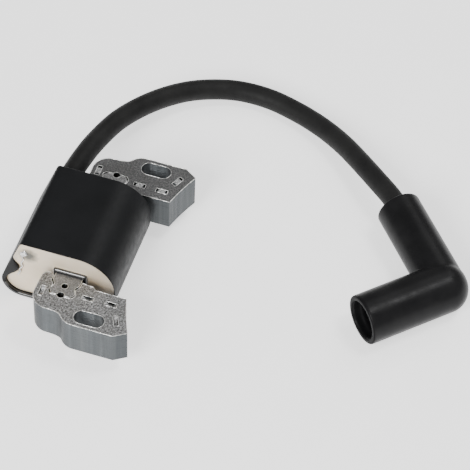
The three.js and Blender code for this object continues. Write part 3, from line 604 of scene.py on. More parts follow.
def build_stack_tree():
    sizes = {"Count": "Int", "Pitch": "Float", "Shift": "Float", "Seed": "Int", "Finish": "Material"}
    tree, given, result = new_tree("sheet_stack", sizes)
    rise = step(tree, "ShaderNodeCombineXYZ", {"Z": given["Pitch"]})
    line = step(tree, "GeometryNodeMeshLine", {"Count": given["Count"], "Offset": rise})
    back = step(tree, "ShaderNodeMath", {0: given["Shift"], 1: -1.0}, operation="MULTIPLY")
    low = step(tree, "ShaderNodeCombineXYZ", {"X": back, "Y": back})
    high = step(tree, "ShaderNodeCombineXYZ", {"X": given["Shift"], "Y": given["Shift"]})
    links = {0: low, 1: high, "Seed": given["Seed"]}
    shift = step(tree, "FunctionNodeRandomValue", links, data_type="FLOAT_VECTOR")
    moved = step(tree, "GeometryNodeSetPosition", {"Geometry": line, "Offset": shift})
    copies = step(tree, "GeometryNodeInstanceOnPoints", {"Points": moved, "Instance": given["Geometry"]})
    return coated(tree, copies, given["Finish"], result)


stack_tree = build_stack_tree()

# %% [markdown]
# Punching raises a bright, uneven burr round every edge of the outermost sheet. A second tree finds those
# sharp edges, turns them into lines, and draws a hair-thin bead along them whose size a noise varies.

# %% Tree: the burr along sharp edges


def build_burr_tree():
    sizes = {"Height": "Float", "Radius": "Float", "Grain": "Float", "Finish": "Material"}
    tree, given, result = new_tree("edge_burr", sizes)
    place = step(tree, "GeometryNodeInputPosition")
    up = step(tree, "ShaderNodeSeparateXYZ", {0: place})
    links = {0: up.outputs["Z"], 1: given["Height"]}
    on_top = step(tree, "FunctionNodeCompare", links, operation="GREATER_THAN")
    angle = step(tree, "GeometryNodeInputMeshEdgeAngle")
    sharp = step(tree, "FunctionNodeCompare", {0: angle, 1: 1.0}, operation="GREATER_THAN")
    both = step(tree, "FunctionNodeBooleanMath", {0: on_top, 1: sharp}, operation="AND")
    line = step(tree, "GeometryNodeMeshToCurve", {"Mesh": given["Geometry"], "Selection": both})
    fine = step(tree, "GeometryNodeResampleCurve", {"Curve": line, "Length": 0.3}, mode="LENGTH")
    grain = step(tree, "ShaderNodeTexNoise", {"Scale": given["Grain"], "Detail": 2.0})
    size = step(tree, "ShaderNodeMapRange", {0: grain, 1: 0.3, 2: 0.7, 3: 0.3, 4: 1.5})
    section = step(tree, "GeometryNodeCurvePrimitiveCircle", {"Resolution": 6, "Radius": given["Radius"]})
    links = {"Curve": fine, "Profile Curve": section, "Scale": size}
    bead = step(tree, "GeometryNodeCurveToMesh", links)
    return coated(tree, bead, given["Finish"], result)


burr_tree = build_burr_tree()
print("trees", [tree.name for tree in bpy.data.node_groups])

# %% [markdown]
# Rolled sheet is grey and pitted on its face. The punched sides are smoother and a little bluer, with
# upright streaks from the punch, and wide soft upright bands on them are a painted reflection. One finish
# holds both, and chooses by which way the surface faces. In narrow holes, slots and dimples an occlusion
# node paints shade into the colour. The bar's sheets are smoother than the legs'. The leg that lies turned
# over has darker steel than the other, and the pressed tongues are rubbed bright.

# %% Steel finishes


def sheet_steel(name, shade, contrast):
    finish = Finish(name, Metallic=0.85)
    face = finish.math("GREATER_THAN", finish.math("ABSOLUTE", finish.facing("Z")), 0.85)
    pits = finish.noise(1700, 4, 0.85)
    clouds = finish.noise(150, 3, 0.5)
    streaks = finish.noise(1, 3, 0.6, finish.stretched(900, 900, 35))
    # Painted reflection: wide soft upright bands on the punched sides stand for reflections of the curved
    # sides.
    painted_reflection_bands = finish.noise(1, 2, 0.5, finish.stretched(160, 160, 8))
    low, middle, high = (shade * (1 + contrast * k) for k in (-0.75, -0.1, 1.5))
    rolled = finish.ramp(pits, (0.36, low), (0.5, middle), (0.62, high))
    dull = (shade * 0.6, shade * 0.59, shade * 0.55)
    rolled = finish.mix(finish.ramp(clouds, (0.4, 0.0), (0.65, 0.3)), rolled, dull)
    cut = finish.ramp(streaks, (0.3, (0.085, 0.092, 0.096)), (0.7, (0.106, 0.114, 0.118)))
    cut = finish.mix(finish.ramp(painted_reflection_bands, (0.4, 0.0), (0.65, 0.6)), cut, (0.068, 0.076, 0.082))
    # Painted shade: an occlusion node darkens the colour of holes, slots and dimples.
    openness = finish.openness(0.005)
    cut = finish.mix(finish.ramp(openness, (0.25, 1.0), (0.5, 0.0)), cut, (0.012, 0.011, 0.009))
    rolled = finish.mix(finish.ramp(openness, (0.3, 0.9), (0.7, 0.0)), rolled, (0.03, 0.029, 0.027))
    rough_face = finish.ramp(pits, (0.35, 0.62), (0.65, 0.36))
    rough_side = finish.ramp(streaks, (0.3, 0.5), (0.7, 0.38))
    height = finish.mix(face, finish.math("MULTIPLY", streaks, 0.25), pits)
    return finish.to(
        Base_Color=finish.mix(face, cut, rolled),
        Roughness=finish.mix(face, rough_side, rough_face),
        Normal=finish.bump(height, 0.00012, 0.8),
    )


def burr_steel():
    finish = Finish("burr_steel", Metallic=1.0)
    grain = finish.noise(1800, 2)
    colour = finish.ramp(grain, (0.3, (0.55, 0.55, 0.53)), (0.6, (0.95, 0.95, 0.93)))
    return finish.to(Base_Color=colour, Roughness=finish.ramp(grain, (0.3, 0.4), (0.7, 0.25)))


SHEET_STEEL = sheet_steel("punched_sheet_steel", 0.23, 1.0)
BAR_STEEL = sheet_steel("bar_sheet_steel", 0.24, 0.5)
# The turned-over far leg's stack has darker steel than the near leg's.
TURNED_STEEL = sheet_steel("turned_sheet_steel", 0.13, 0.45)
RUBBED_STEEL = sheet_steel("rubbed_steel", 0.36, 0.7)
BURR_STEEL = burr_steel()

# %% Stack the legs and the bar
BURR_RADIUS, SHEET_EDGE, SHEET_SHIFT = 0.12, 0.05, 0.02


def lifted(made, height):
    made.data.transform(Matrix.Translation((0, 0, height)))
    return made


def stack_of(sheet, name, node, seed, steel=SHEET_STEEL):
    top_edge = sheet.copy()
    top_edge.data = sheet.data.copy()
    bpy.context.scene.collection.objects.link(top_edge)
    top_edge.name = name + "_burr"
    stack_top = STACK_FOOT + STACK
    lifted(top_edge, stack_top - SHEET_SOLID - 0.03)
    grown(top_edge, burr_tree, height=stack_top - 0.1, radius=BURR_RADIUS, grain=0.9, finish=BURR_STEEL)
    chamfered(sheet, SHEET_EDGE)
    sheet.name = name
    grown(sheet, stack_tree, count=SHEETS, pitch=SHEET, shift=SHEET_SHIFT, seed=seed, finish=steel)
    lifted(sheet, STACK_FOOT)
    in_place(sheet, "coil", steel, [node], smooth=30)
    in_place(top_edge, "coil", BURR_STEEL, smooth=60)


def locks_of(side, name):
    made = tongues(side)
    made.name = name
    grown(made, stack_tree, count=SHEETS - 2, pitch=SHEET, shift=0.0, seed=0, finish=RUBBED_STEEL)
    lifted(made, STACK_FOOT + (2 * SHEET if side < 0 else 0))
    in_place(made, "coil", RUBBED_STEEL, smooth=30)


stack_of(leg_sheet(-1), "near_leg_sheets", "near_pole_leg", 3)
stack_of(leg_sheet(1), "far_leg_sheets", "far_pole_leg", 5, TURNED_STEEL)
stack_of(bar_sheet(), "bar_sheets", "core_bar", 7, BAR_STEEL)
locks_of(-1, "near_leg_locks")
locks_of(1, "far_leg_locks")

# %% [markdown]
# ## The case
# The case is moulded nylon: flat above and below, round in front, with a leaning back wall. It is one skin
# that runs over the outside, round the rim, and back along the inside. Its section is worked out for any
# distance inwards, so walls stay even and every rounded edge is a few rings with a growing inset.

# %% Section of the case
CASE_WALL = 1.2
FRONT = case_high.x
TOP = case_high.z
LEAN_ANGLE = math.radians(20.2)
LEAN = math.tan(LEAN_ANGLE)
WINDING_HALF, BACK_ROOM = 8.7, 7.85
BACK_TOP = BAR_X - WINDING_HALF - BACK_ROOM
BROW_ROUND, CROWN_ROUND, KEEL_ROUND, FOOT_ROUND = 1.4, 12, 11.5, 6.5
RIB_MIDDLE, RIB_HALF, RIB_WIDTH = 12.8, 7.2, 2.6


def back_x(z, inset):
    return BACK_TOP - (TOP - z) * LEAN + inset / math.cos(LEAN_ANGLE)


def on_back_wall(p, inset):
    return p.x < back_x(p.y, inset + 0.6) + 0.5


def rib_share(z):
    """How much of the rib's full width it has at a height: 1 in its middle, 0 past its ends."""
    return (1 - min(1, abs(z - RIB_MIDDLE) / RIB_HALF) ** 2) ** 2


def rounded_corner(before, corner, after, radius, steps):
    before, corner, after = (Vector(p) for p in (before, corner, after))
    back, on = (before - corner).normalized(), (after - corner).normalized()
    half = back.angle(on) / 2
    centre = corner + (back + on).normalized() * radius / math.sin(half)
    start = corner + back * radius / math.tan(half) - centre
    turn = (math.pi - 2 * half) * (-1 if back.x * on.y - back.y * on.x > 0 else 1)
    return [centre + Matrix.Rotation(turn * i / steps, 2) @ start for i in range(steps + 1)]


def case_section(inset, rib=0.0):
    """Closed loop of (x, z). A rib thickens the back wall by a share from 0 to 1."""
    top, front = TOP - inset, FRONT - inset
    brow, foot = (back_x(top, inset), top), (back_x(inset, inset), inset)
    crown, keel = (front, top), (front, inset)
    arcs = [
        rounded_corner(foot, brow, crown, max(BROW_ROUND - inset, 0.3), 8),
        rounded_corner(brow, crown, keel, CROWN_ROUND - inset, 28),
        rounded_corner(crown, keel, foot, KEEL_ROUND - inset, 26),
        rounded_corner(keel, foot, brow, FOOT_ROUND - inset, 16),
    ]
    points = []
    for here, there, steps in zip(arcs, arcs[1:] + arcs[:1], (14, 4, 10, 22)):
        points += here
        points += [here[-1].lerp(there[0], i / steps) for i in range(1, steps)]
    for p in points:
        if on_back_wall(p, inset):
            p.x += rib * RIB_WIDTH * rib_share(p.y)
    return points


def section_at(y, inset, rib=0.0):
    return [(p.x, y, p.y) for p in case_section(inset, rib)]


print("case section", len(case_section(0)), "points")

# %% [markdown]
# The case was filled to the brim while it stood on its far end, a little out of level. So the resin hides
# the rim along the top, and further down more and more of the wall shows. One number between 0 and 1 says
# how much of the wall shows at each point, and the rim and the resin's edge both follow it. A flat wall
# gets one more ring close to each end, which keeps the shading of the rounded edges off it.

# %% Case shell
FAR_ROUND = 0.4
INSIDE_Y = CASE_FACE - CASE_WALL
THIN_RIM, LIP_ROUND = 0.14, 0.6
HIDDEN_ABOVE, SHOWN_OVER = 18, 13
END_RING = 1.2


def wall_shown(p):
    t = min(1, max(0, (HIDDEN_ABOVE - p.y) / SHOWN_OVER))
    share = t * t * (3 - 2 * t)
    return max(share, rib_share(p.y)) if on_back_wall(p, 0) else share


def outer_round(shown):
    return 0.07 + 0.23 * shown


def rim_width(shown):
    return THIN_RIM + (CASE_WALL - THIN_RIM) * shown


def rim_ring(inset_and_y):
    """A ring at the case's mouth, whose inset and place along the case follow how much wall shows."""
    ring = []
    for outer, full in zip(case_section(0), case_section(CASE_WALL, 1.0)):
        inset, y = inset_and_y(wall_shown(outer))
        p = outer.lerp(full, inset / CASE_WALL)
        ring.append((p.x, y, p.y))
    return ring


def resin_edge(shown):
    return 0.06 - CASE_FACE + 1.4 * shown


def quarter(radius, steps):
    """Pairs of (along, inwards) round a quarter circle, from the side to the end."""
    angles = [math.pi / 2 * i / steps for i in range(steps + 1)]
    return [(radius * math.sin(a), radius * (1 - math.cos(a))) for a in angles]


def case_shell():
    rings = [section_at(CASE_FACE - FAR_ROUND + s, n) for s, n in reversed(quarter(FAR_ROUND, 7))]
    rings += [section_at(y, 0) for y in (CASE_FACE - END_RING, 8, 0, -8, END_RING - CASE_FACE)]
    for s, n in quarter(1, 4):
        rings.append(rim_ring(lambda w: (n * outer_round(w), (1 - s) * outer_round(w) - CASE_FACE)))
    for s, n in reversed(quarter(1, 4)):
        lip = lambda w: (rim_width(w) - n * LIP_ROUND * w, (1 - s) * LIP_ROUND * w + 0.01 - CASE_FACE)
        rings.append(rim_ring(lip))
    rings.append(rim_ring(lambda w: (rim_width(w), resin_edge(w) + 0.05)))
    rings += [section_at(y - CASE_FACE, CASE_WALL, rib) for y, rib in ((1.9, 1.0), (2.4, 1.0), (3.0, 0.0))]
    rings.append(section_at(INSIDE_Y, CASE_WALL))
    return skin("case_shell", rings)


def rounded_rectangle(half_width, half_height, radius, steps=8):
    w, h = half_width - radius, half_height - radius
    corners_at = ((w, h, 0), (-w, h, 90), (-w, -h, 180), (w, -h, 270))
    return [p for x, z, a in corners_at for p in arc(x, z, radius, a, a + 90, steps)]


def around_bar(grow, radius, y):
    plan = rounded_rectangle(BAR_WIDTH / 2 + grow, STACK / 2 + grow, radius)
    return [(BAR_X + x, y, BAR_Z + z) for x, z in plan]


def round_ring(x, z, radius, y, sides=64):
    return [(x + u, y, z + v) for u, v in arc(0, 0, radius, 0, 360 - 360 / sides, sides - 1)]


# %% [markdown]
# A short collar holds the lead where it leaves. It is joined on as a ring with a small fillet, and then the
# lead's bore and the bar's tunnel are cut through the far wall.

# %% Collar, tunnel and bore
TUBE_OUTER, TUBE_CORNER = 1.2, 0.8
COLLAR_OUTER, COLLAR_BORE = 4.7, 3.65
COLLAR_FILLET, COLLAR_ROUND = 0.4, 0.3


def round_lead(radius, y):
    return round_ring(LEAD_X, LEAD_Z, radius, y)


def lead_collar():
    tip = CASE_FACE + COLLAR_LENGTH - COLLAR_ROUND
    rings = [round_lead(COLLAR_OUTER, INSIDE_Y + 0.3)]
    for s, n in reversed(quarter(COLLAR_FILLET, 4)):
        rings.append(round_lead(COLLAR_OUTER + n, CASE_FACE + COLLAR_FILLET - s))
    rings += [round_lead(COLLAR_OUTER - n, tip + s) for s, n in quarter(COLLAR_ROUND, 4)]
    return skin("collar", rings)


shell = case_shell()
collar = lead_collar()
punched(shell, collar, union=[collar])
tunnel_ends = (INSIDE_Y - 1, CASE_FACE + 1)
tunnel = skin("tunnel", [around_bar(TUBE_OUTER + 0.1, TUBE_CORNER + 0.1, y) for y in tunnel_ends])
bore = skin("bore", [round_lead(COLLAR_BORE, y) for y in (INSIDE_Y - 1, CASE_FACE + 4)])
punched(shell, tunnel, bore)
shell.name = "case_moulding"
print("case moulding", len(shell.data.polygons), "faces")

# %% [markdown]
# Moulded nylon is black with a soft gloss. The mould was fine-blasted, which leaves a grain far smaller
# than a millimetre. The back wall is left matt, and the rim is glossy at its foot, where resin has wetted
# it.

# %% Case nylon
WETTED_DEPTH, WETTED_HEIGHT = 0.8, 5.0


def case_nylon():
    finish = Finish("case_nylon")
    grain = finish.noise(3200, 3, 0.6)
    flow = finish.noise(70, 3, 0.5)
    colour = finish.ramp(flow, (0.35, (0.0045, 0.005, 0.0055)), (0.65, (0.0075, 0.008, 0.009)))
    rough = finish.ramp(finish.noise(420, 4, 0.6), (0.3, 0.4), (0.7, 0.54))
    at_mouth = finish.math("LESS_THAN", finish.part(finish.place, "Y"), (WETTED_DEPTH - CASE_FACE) * MM)
    at_foot = finish.math("LESS_THAN", finish.part(finish.place, "Z"), WETTED_HEIGHT * MM)
    wetted = finish.math("MULTIPLY", at_mouth, at_foot)
    back_wall = finish.math("LESS_THAN", finish.facing("X"), -0.7)
    rough = finish.mix(wetted, rough, 0.14)
    shine = finish.mix(back_wall, 0.17, 0.04)
    shine = finish.mix(wetted, shine, 0.7)
    return finish.to(
        Base_Color=colour, Roughness=rough, Specular_IOR_Level=shine, Normal=finish.bump(grain, 0.00004, 0.6)
    )


CASE_NYLON = case_nylon()
in_place(shell, "coil", CASE_NYLON, ["coil_case"], smooth=28)

# %% [markdown]
# ## The resin
# The resin was poured in as a liquid, so its face climbs a little up the walls and up the tube in the
# middle, and up the pin in its corner. A flat cap would miss that. Rings run from the wall to the tube, and
# each point's depth follows how near it is to any of them.

# %% Resin face
RESIN_Y = corners("potting_resin")[0].y
PIN = (corners("terminal_solder")[0] + corners("terminal_solder")[1]) / 2
RESIN_DIP, RESIN_TILT = 0.6, 1.05
WALL_REACH, TUBE_CLIMB, TUBE_REACH, PIN_CLIMB, PIN_REACH = 0.7, 0.3, 0.45, 0.3, 1.6


def tube_edge(point, grow):
    """Where a line from the bar's middle to a point crosses the tube's outline."""
    w, h, r = BAR_WIDTH / 2 + grow, STACK / 2 + grow, TUBE_CORNER
    low, high = 0.0, 1.0
    for _ in range(24):
        middle = (low + high) / 2
        x, z = abs(point[0] * middle) - w + r, abs(point[1] * middle) - h + r
        outside = math.hypot(max(x, 0), max(z, 0)) + min(max(x, z), 0) > r
        low, high = (low, middle) if outside else (middle, high)
    return low


def resin_y(x, z, to_wall, to_tube, edge_y):
    """The face's place along Y, between its level in the open and its edge at the wall."""
    level = RESIN_Y + RESIN_DIP - RESIN_TILT * min(1, max(0, (z - 4) / 20))
    near_pin = math.hypot(x - PIN.x, z - PIN.z)
    y = level + (edge_y - level) * math.exp(-to_wall / WALL_REACH)
    y -= TUBE_CLIMB * math.exp(-to_tube / TUBE_REACH)
    y -= PIN_CLIMB * math.exp(-((near_pin / PIN_REACH) ** 2))
    y += 0.05 * math.sin(x * 0.55) * math.cos(z * 0.4) * (1 - math.exp(-to_wall))
    return max(y, edge_y if to_wall < 0.01 else 0.03 - CASE_FACE)


def resin_body():
    edge = rim_ring(lambda w: (rim_width(w) + 0.01, resin_edge(w)))
    wall = [(x - BAR_X, z - BAR_Z) for x, y, z in edge]
    shares = [tube_edge(p, TUBE_OUTER + 0.03) for p in wall]
    rings = []
    steps = 26
    for k in range(steps + 1):
        t = (1 - math.cos(math.pi * k / steps)) / 2
        ring = []
        for (x, z), share, (_, edge_y, _) in zip(wall, shares, edge):
            reach = 1 - t * (1 - share)
            away = math.hypot(x, z)
            px, pz = BAR_X + x * reach, BAR_Z + z * reach
            ring.append((px, resin_y(px, pz, away * (1 - reach), away * (reach - share), edge_y), pz))
        rings.append(ring)
    inside = [(p.x, p.y) for p in case_section(CASE_WALL + 0.03, 1.0)]
    back_y = INSIDE_Y - 0.1
    back = [[(x, back_y, z) for x, y, z in rings[-1]], [(x, back_y, z) for x, z in inside]]
    back.append([(x, y + 0.4, z) for (x, z), (_, y, _) in zip(inside, edge)])
    return skin("resin_pour", rings + back, caps=False, loop=True)


# %% [markdown]
# Cast resin is ivory, faintly cloudy, and lets a little light in. A dark patch of painted shade sits beside
# the pin, and warm brown painted shade darkens the resin behind the leg and near the tube and walls.

# %% Ivory resin
PIN_SHADE_OFFSET = Vector((1.5, 0, -0.4))


def potting_resin():
    finish = Finish("ivory_resin", Specular_IOR_Level=0.45, Subsurface_Weight=0.15, Subsurface_Scale=0.001)
    finish.shader.inputs["Subsurface Radius"].default_value = (1.0, 0.7, 0.4)
    clouds = finish.noise(160, 4, 0.55)
    colour = finish.ramp(clouds, (0.3, (0.72, 0.6, 0.44)), (0.7, (0.78, 0.68, 0.53)))
    # Painted shade: a dark patch beside the pin, as if a small recess there were in shadow.
    from_pin_shade = finish.vector("DISTANCE", finish.place, (PIN + PIN_SHADE_OFFSET) * MM)
    uneven = finish.math("MULTIPLY", finish.noise(700, 3), 0.0022)
    ragged = finish.math("ADD", from_pin_shade.outputs["Value"], uneven)
    pin_shade = finish.ramp(finish.math("MULTIPLY", ragged, 100), (0.24, 0.95), (0.5, 0.0))
    colour = finish.mix(pin_shade, colour, (0.055, 0.055, 0.042))
    # Painted shade: an occlusion node darkens the resin to a warm brown near the leg, the tube and the walls.
    painted_shade = finish.ramp(finish.openness(0.006), (0.35, 0.75), (0.72, 0.0))
    colour = finish.mix(painted_shade, colour, (0.26, 0.19, 0.12))
    rough = finish.ramp(finish.noise(330, 3), (0.3, 0.28), (0.7, 0.45))
    waves = finish.bump(finish.noise(900, 3), 0.00008, 0.35)
    return finish.to(Base_Color=colour, Roughness=rough, Normal=waves)


RESIN = potting_resin()
in_place(resin_body(), "coil", RESIN, ["potting_resin"], smooth=40)

# %% [markdown]
# ## The tube round the bar
# The inner bobbin is a thin rectangular tube of glossy black plastic. Both ends stand out of the case and
# show a rounded lip that catches the light.

# %% Bobbin tube
LIP, INNER_LIP, TUBE_GAP = 0.65, 0.2, 0.3
TUBE_END = corners("primary_bobbin")[1].y


def bobbin_tube():
    ends = []
    for side in (1, -1):
        end = []
        for s, n in quarter(LIP, 5):
            end.append(around_bar(TUBE_OUTER - n, TUBE_CORNER - n * 0.5, side * (TUBE_END - LIP + s)))
        for s, n in reversed(quarter(INNER_LIP, 5)):
            end.append(around_bar(TUBE_GAP + n, 0.4, side * (TUBE_END - INNER_LIP + s)))
        ends.append(end if side > 0 else end[::-1])
    return skin("bobbin_tube", ends[0] + ends[1], caps=False, loop=True)


def tube_gloss():
    finish = Finish("tube_gloss", Specular_IOR_Level=0.9, Coat_Weight=1.0, Coat_Roughness=0.04)
    colour = finish.ramp(finish.noise(300, 3), (0.3, (0.006, 0.006, 0.007)), (0.7, (0.012, 0.012, 0.013)))
    rough = finish.ramp(finish.noise(800, 3), (0.3, 0.1), (0.7, 0.2))
    waves = finish.bump(finish.noise(1500, 2), 0.00003, 0.4)
    return finish.to(Base_Color=colour, Roughness=rough, Normal=waves)


TUBE_GLOSS = tube_gloss()
in_place(bobbin_tube(), "coil", TUBE_GLOSS, ["primary_bobbin"])

# %% [markdown]
# ## The stop terminal
# A short pin stands in the resin's corner with solder round it, and a thin tinned wire runs down from it.
# Solder freezes as an uneven drop, so it is turned from a soft profile and then pushed about by a few
# smooth waves.

# %% Pin, solder and wire


def turned_along_y(name, profile, x, z, sides=32):
    return skin(name, [round_ring(x, z, max(r, 0.01), y, sides) for r, y in profile])


def solder_drop():
    profile = [(0.4, -0.1), (1.35, -0.1), (1.3, 0.3), (1.15, 0.55)]
    profile += [(0.95, 0.75), (0.7, 0.9), (0.35, 0.98), (0.1, 1.0)]
    drop = turned_along_y("solder_drop", [(r, RESIN_Y - out) for r, out in profile], PIN.x, PIN.z)
    for v in drop.data.vertices:
        a = math.atan2(v.co.z - PIN.z, v.co.x - PIN.x)
        swell = 1 + 0.18 * math.sin(2 * a + 0.6) + 0.09 * math.sin(5 * a + 2)
        v.co.x = PIN.x + (v.co.x - PIN.x) * swell
        v.co.z = PIN.z + (v.co.z - PIN.z) * (swell + 0.25)
    soft = drop.modifiers.new("soft", "SUBSURF")
    soft.levels = soft.render_levels = 1
    return settled(drop)


def tinned():
    finish = Finish("bright_solder", Metallic=1.0)
    ripple = finish.noise(1400, 3, 0.55)
    colour = finish.ramp(ripple, (0.3, 0.5), (0.65, (0.86, 0.87, 0.88)))
    rough = finish.ramp(ripple, (0.3, 0.3), (0.7, 0.12))
    return finish.to(Base_Color=colour, Roughness=rough, Normal=finish.bump(ripple, 0.0002, 0.7))


TINNED = tinned()
in_place(solder_drop(), "coil", TINNED, ["terminal_solder"], smooth=60)

pin_low, pin_high = corners("stop_terminal_pin")
pin_profile = [(r, pin_low.y + y) for r, y in ((0.0, 0), (0.25, 0), (0.4, 0.12), (0.45, 0.3))]
pin_profile.append((0.45, pin_high.y))
pin = turned_along_y("stop_pin", pin_profile, PIN.x, PIN.z, 24)
in_place(pin, "coil", TINNED, ["stop_terminal_pin"])

TAIL_RADIUS, TAIL_OUT, TAIL_WAVE = 0.22, 0.3, 0.14
tail_knots = [(0.2, 0.9), (-0.5, -1.4), (-0.1, -3.0), (-0.9, -4.9)]
tail_knots += [(-0.7, -6.6), (-1.6, -8.2), (-1.5, -9.6), (-2.4, -11.2)]
tail_route = []
for i, (x, z) in enumerate(tail_knots):
    tail_route.append(Vector((PIN.x + x, RESIN_Y - TAIL_OUT - TAIL_WAVE * (i % 2), PIN.z + z)))
tail = wire_along("stop_wire", smooth_line(tail_route, 0.25), TAIL_RADIUS, 10, TINNED)
in_place(tail, "coil", TINNED, ["stop_wire_tail"], smooth=60)

# %% [markdown]
# ## The boot
# The boot is one moulding of soft rubber: two round arms that meet in an elbow with a rounded heel. Joining
# two turned solids would leave a knife-sharp line where they meet. Here the boot is written as a distance
# to its surface, in which two shapes can be blended. A rough even mesh is then moved onto that surface,
# point by point.

# %% The boot as a distance
PLUG_ARM_RADIUS, PLUG_ARM_LENGTH, PLUG_BORE, PLUG_BORE_LENGTH = 8.25, 30.0, 6.3, 19.0
LEAD_ARM_TIP, LEAD_ARM_ROOT, LEAD_ARM_BORE = 7.4, 7.5, 3.62
HEEL = 7.6
SPRING_BORE, SPRING_BORE_START = 5.2, -3.0
CREASE = 0.3
RUBBER_RIM = 0.55
GRIP_RIBS, GRIP_HEIGHT, GRIP_WIDTH = (26.5, 22.5), 0.35, 0.7
FLARE, FLARE_LENGTH = 0.3, 0.8


def along_and_away(points, direction):
    offset = points - np.array(BOOT_CORNER)
    along = offset @ np.array(direction)
    away = np.linalg.norm(offset - along[:, None] * np.array(direction), axis=1)
    return along, away


def box_distance(u, v, soft):
    """Distance to a quarter-plane u < 0, v < 0 with its corner rounded."""
    u, v = u + soft, v + soft
    return np.minimum(np.maximum(u, v), 0) + np.hypot(np.maximum(u, 0), np.maximum(v, 0)) - soft


def blended(a, b, reach):
    share = np.clip(0.5 + 0.5 * (b - a) / reach, 0, 1)
    return b + (a - b) * share - reach * share * (1 - share)


def boot_distance(points):
    s, r = along_and_away(points, TO_PLUG)
    t, q = along_and_away(points, TO_LEAD)
    heel = (np.hypot(r / PLUG_ARM_RADIUS, s / HEEL) - 1) * HEEL
    plug_arm = np.where(s > 0, box_distance(r - PLUG_ARM_RADIUS, s - PLUG_ARM_LENGTH, RUBBER_RIM), heel)
    taper = LEAD_ARM_ROOT + (LEAD_ARM_TIP - LEAD_ARM_ROOT) * t / LEAD_ARM_LENGTH
    lead_arm = np.maximum(box_distance(q - taper, t - LEAD_ARM_LENGTH, RUBBER_RIM), -t)
    solid = blended(plug_arm, lead_arm, CREASE)
    ribs = sum(GRIP_HEIGHT * np.exp(-(((s - rib) / GRIP_WIDTH) ** 2)) for rib in GRIP_RIBS)
    flare = FLARE * np.clip((s - PLUG_ARM_LENGTH + FLARE_LENGTH) / FLARE_LENGTH, 0, 1.5)
    mouth = np.maximum(r - PLUG_BORE + ribs - flare, PLUG_ARM_LENGTH - PLUG_BORE_LENGTH - s)
    middle = np.maximum(r - SPRING_BORE, SPRING_BORE_START - s)
    sleeve = np.maximum(q - LEAD_ARM_BORE, -t)
    hollow = np.minimum(np.minimum(mouth, middle), sleeve)
    return np.maximum(solid, -hollow)


# %% Rough boot, then settle it on the surface


def turned_towards(name, profile, direction, sides=48):
    side = direction.orthogonal().normalized()
    other = direction.cross(side)
    rings = []
    for r, s in profile:
        ring = arc(0, 0, max(r, 0.01), 0, 360 - 360 / sides, sides - 1)
        rings.append([BOOT_CORNER + direction * s + side * u + other * v for u, v in ring])
    return skin(name, rings)


def rough_boot():
    turns = [math.radians(10 * i) for i in range(10)]
    heel = [(PLUG_ARM_RADIUS * math.sin(a), -HEEL * math.cos(a)) for a in turns]
    plug_arm = turned_towards("spark_boot_moulding", heel + [(PLUG_ARM_RADIUS, PLUG_ARM_LENGTH)], TO_PLUG)
    lead_arm = turned_towards("arm", [(LEAD_ARM_ROOT, 0), (LEAD_ARM_TIP, LEAD_ARM_LENGTH)], TO_LEAD)
    punched(plug_arm, lead_arm, union=[lead_arm])
    mouth_start = PLUG_ARM_LENGTH - PLUG_BORE_LENGTH
    narrow = [(SPRING_BORE, SPRING_BORE_START), (SPRING_BORE, mouth_start)]
    wide = [(PLUG_BORE, mouth_start), (PLUG_BORE, PLUG_ARM_LENGTH + 1)]
    mouth = turned_towards("mouth", narrow + wide, TO_PLUG)
    sleeve = turned_towards("sleeve", [(LEAD_ARM_BORE, 0), (LEAD_ARM_BORE, LEAD_ARM_LENGTH + 1)], TO_LEAD)
    return punched(plug_arm, mouth, sleeve)


def remeshed(made, size):
    remesh = made.modifiers.new("even", "REMESH")
    remesh.mode = "VOXEL"
    remesh.voxel_size = size
    return settled(made)


def settle_on(made, distance, rounds=8):
    """Moves each point along the distance's slope until it lies where the distance is 0."""
    points = np.empty(len(made.data.vertices) * 3)
    made.data.vertices.foreach_get("co", points)
    points = points.reshape(-1, 3)
    nudge = 0.02
    for _ in range(rounds):
        d = distance(points)
        rises = [distance(points + nudge * axis) - distance(points - nudge * axis) for axis in np.eye(3)]
        slope = np.stack(rises, 1) / (2 * nudge)
        size = np.maximum((slope**2).sum(1), 0.25)
        points = points - 0.8 * (d / size)[:, None] * slope
    made.data.vertices.foreach_set("co", points.ravel())
    made.data.update()
    print(made.name, "lies within", round(float(np.abs(distance(points)).max()), 3), "mm of its surface")
    return made


boot = settle_on(remeshed(rough_boot(), 0.4), boot_distance)

# %% [markdown]
# The boot's rubber is smoother than the lead's, so it takes a soft streak of light. Its mouth was cut with
# a blade, and the cut is duller. The finish finds the cut by how far a point lies along the plug arm, so it
# stays on the mouth when the boot turns.

# %% Boot rubber
CUT_DEPTH = 0.25


def boot_rubber():
    finish = Finish("boot_rubber")
    from_corner = finish.vector("SUBTRACT", finish.place, BOOT_CORNER * MM)
    reach = finish.vector("DOT_PRODUCT", from_corner, TO_PLUG)
    cut_end = finish.math("GREATER_THAN", reach.outputs["Value"], (PLUG_ARM_LENGTH - CUT_DEPTH) * MM)
    shine = finish.mix(cut_end, 0.12, 0.02)
    bloom = finish.noise(110, 4, 0.55)
    grain = finish.noise(3000, 3, 0.6)
    colour = finish.ramp(bloom, (0.35, (0.0065, 0.0065, 0.007)), (0.7, (0.011, 0.011, 0.0115)))
    rough = finish.ramp(finish.noise(350, 4, 0.6), (0.3, 0.3), (0.7, 0.4))
    return finish.to(
        Base_Color=colour, Roughness=rough, Specular_IOR_Level=shine, Normal=finish.bump(grain, 0.00003, 0.5)
    )


BOOT_RUBBER = boot_rubber()
in_place(boot, "boot", BOOT_RUBBER, ["spark_boot"], smooth=50)

# %% [markdown]
# ## The plug terminal
# Inside the boot, a spring coil grips the plug's tip, and its straight end meets the lead's conductor. It
# is the same round wire as before, drawn along a helix.

# %% Terminal spring
SPRING_END, SPRING_START, SPRING_PITCH, SPRING_RADIUS, SPRING_WIRE_RADIUS = 7.0, 3.5, 1.75, 3.9, 0.6
SPRING_TURNS, TURN_STEPS = 4, 24


